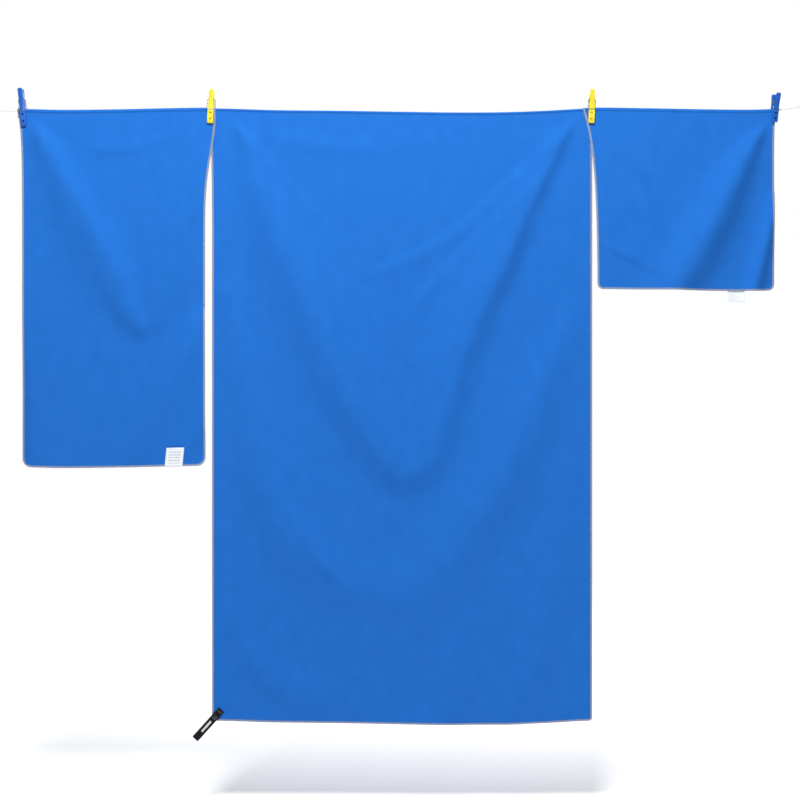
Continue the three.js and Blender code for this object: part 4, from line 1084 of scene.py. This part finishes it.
def spring_paths(name, wire):
    """The spring's three parts in the peg's own frame: the front arm, the coil and the back arm. The coil
    is a helix along the peg's width; each arm runs down a side and across the lever's groove."""
    _, tall, _, _, width, opening, _ = PEGS[name]
    pivot = PEG_PIVOT * tall
    side = width / 2 + PEG_WIRE_CLEAR + wire / 2
    across = opening + PEG_THICKNESS - PEG_GROOVE + GAP + wire / 2
    t = np.linspace(0, 1, 96)[:, None]
    angle = np.pi - t * 2 * np.pi * PEG_TURNS
    coil = np.hstack([-side + 2 * side * t, PEG_COIL * np.cos(angle), pivot + PEG_COIL * np.sin(angle)])
    hook = np.array([
        [side - 0.0024, -across, 0], [0, -across, 0], [-side + 0.0016, -across, 0],
        [-side + 0.0003, -across + 0.0004, 0.0003], [-side, -across + 0.0014, 0.0014],
        [-side, -(across + PEG_COIL) / 2, pivot / 2], [-side, -PEG_COIL - 0.00015, pivot - 0.003],
    ])
    front = smooth_path(np.vstack([hook, coil[:3]]), 8)
    back = smooth_path(np.vstack([hook * [-1, -1, 1], coil[-3:][::-1]]), 8)
    return {"front": front, "coil": coil, "back": back}


class TOWELS_OT_pegs(Operator):
    """Makes the four clothes pegs: two levers and a three part spring each"""
    bl_idname = "towels.pegs"
    bl_label = "Make the pegs"

    def execute(self, context):
        sizes = context.scene.towel_pegs
        plastics = {"blue": moulded("blue_plastic", sizes.blue),
                    "yellow": moulded("yellow_plastic", sizes.yellow)}
        steel = spring_steel(sizes)
        for name, (*_, colour_name) in PEGS.items():
            for side in ("front", "back"):
                node = f"{name}_{side}_lever"
                lever = lever_piece(node, sizes.edge, plastics[colour_name])
                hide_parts(node)
                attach(lever, f"{name}_{side}")
            matrix = peg_frame(name)
            for part, path in spring_paths(name, sizes.wire).items():
                path = path @ matrix[:3, :3].T + matrix[:3, 3]
                shell = Shell().add_tube(path, (sizes.wire / 2, sizes.wire / 2), 10,
                                         matrix[:3, 0] + 0.3 * matrix[:3, 1])
                spring = shell.piece(f"{name}_spring_{part}", steel)
                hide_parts(f"{name}_spring")
                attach(spring, ROOT if part == "coil" else f"{name}_{part}")
        return {"FINISHED"}


# ---------------------------------------------------------------- the stage

WHITE = (1.0, 1.0, 1.0, 1.0)
FLOOR_REACH = 6.0                   # half the floor's width
TOWELS_MIDDLE = (0.0, 0.0, -0.6)    # where the lights are aimed


def white_world(strength):
    """A world that looks white and lights the scene with that strength."""
    world = bpy.data.worlds.new("world")
    world.use_nodes = True
    tree = world.node_tree
    start = Socket(tree)
    lit = tree.nodes["Background"]
    lit.inputs["Color"].default_value = WHITE
    lit.inputs["Strength"].default_value = strength
    seen = start.node("ShaderNodeBackground", inputs={"Color": WHITE})
    camera_ray = start.node("ShaderNodeLightPath")
    mix = start.node("ShaderNodeMixShader", inputs={0: camera_ray, 1: Socket(tree, lit.outputs[0]), 2: seen})
    tree.links.new(mix.socket, tree.nodes["World Output"].inputs["Surface"])
    return world


def area_light(name, place, size, power):
    """A square light aimed at the middle of the towels."""
    data = bpy.data.lights.new(name, "AREA")
    data.size = size
    data.energy = power
    light = bpy.data.objects.new(name, data)
    light.location = place
    light.rotation_euler = (Vector(TOWELS_MIDDLE) - Vector(place)).to_track_quat("-Z", "Y").to_euler()
    bpy.context.scene.collection.objects.link(light)


def pale_floor():
    """A matt floor that glows, more so behind the towels."""
    material, start, link = new_material("pale_floor", base_color=(0.93, 0.93, 0.93, 1.0), roughness=0.9,
                                         emission_strength=0.9)
    _, back = object_place(start).parts()
    link(emission_color=(back * 0.7).clamped().between((0.25, 0.25, 0.25, 1.0), WHITE))
    return material


class TOWELS_OT_stage(Operator):
    """Makes the camera, the lights, the white world and the pale floor"""
    bl_idname = "towels.stage"
    bl_label = "Make the stage"

    def execute(self, context):
        sizes = context.scene.towel_stage
        scene = context.scene
        camera_data = bpy.data.cameras.new("camera")
        camera = bpy.data.objects.new("camera", camera_data)
        camera_data.lens = camera_data.sensor_width * sizes.camera_distance / sizes.view_width
        camera.location = (0.0, -sizes.camera_distance, sizes.view_height)
        camera.rotation_euler = (math.pi / 2, 0.0, 0.0)
        scene.collection.objects.link(camera)
        scene.camera = camera
        scene.world = white_world(sizes.sky)
        scene.view_settings.view_transform = "Standard"
        area_light("key", (-0.25, -1.9, 1.9), 0.9, sizes.key)
        area_light("back", (0.9, 2.3, 1.4), 1.2, sizes.back)

        places = np.linspace(-FLOOR_REACH, FLOOR_REACH, 25)
        x, y = np.meshgrid(places, places)
        grid = np.stack([x, y, np.full(x.shape, sizes.floor)], -1)
        floor = Shell().add(grid, grid[..., :2]).piece("floor", pale_floor())
        return {"FINISHED"}


# ---------------------------------------------------------------- the panel and the script

class TOWELS_PT_panel(Panel):
    """Sizes, colours and the operators that make the pieces"""
    bl_label = "Towels on a line"
    bl_idname = "TOWELS_PT_panel"
    bl_space_type = "VIEW_3D"
    bl_region_type = "UI"
    bl_category = "Towels"

    def draw(self, context):
        for operator in OPERATORS:
            self.layout.operator(operator.bl_idname)
        for group in GROUPS:
            box = self.layout.box()
            settings = getattr(context.scene, group)
            for name in settings.bl_rna.properties.keys():
                if name not in ("rna_type", "name"):
                    box.prop(settings, name)


GROUPS = {"towel_line": LineSizes, "towel_cloth": TowelSizes, "towel_edging": EdgingSizes,
          "towel_labels": LabelSizes, "towel_strap": StrapSizes, "towel_pegs": PegSizes,
          "towel_stage": StageSizes}
OPERATORS = (TOWELS_OT_stage, TOWELS_OT_line, TOWELS_OT_edging, TOWELS_OT_cloth, TOWELS_OT_labels,
             TOWELS_OT_strap, TOWELS_OT_pegs)


def register():
    for cls in (*GROUPS.values(), *OPERATORS, TOWELS_PT_panel):
        bpy.utils.register_class(cls)
    for name, cls in GROUPS.items():
        setattr(bpy.types.Scene, name, PointerProperty(type=cls))


def unregister():
    for name in GROUPS:
        delattr(bpy.types.Scene, name)
    for cls in (TOWELS_PT_panel, *reversed(OPERATORS), *GROUPS.values()):
        bpy.utils.unregister_class(cls)


def main():
    register()
    for operator in OPERATORS:
        section, name = operator.bl_idname.split(".")
        getattr(getattr(bpy.ops, section), name)()


if __name__ == "__main__":
    main()
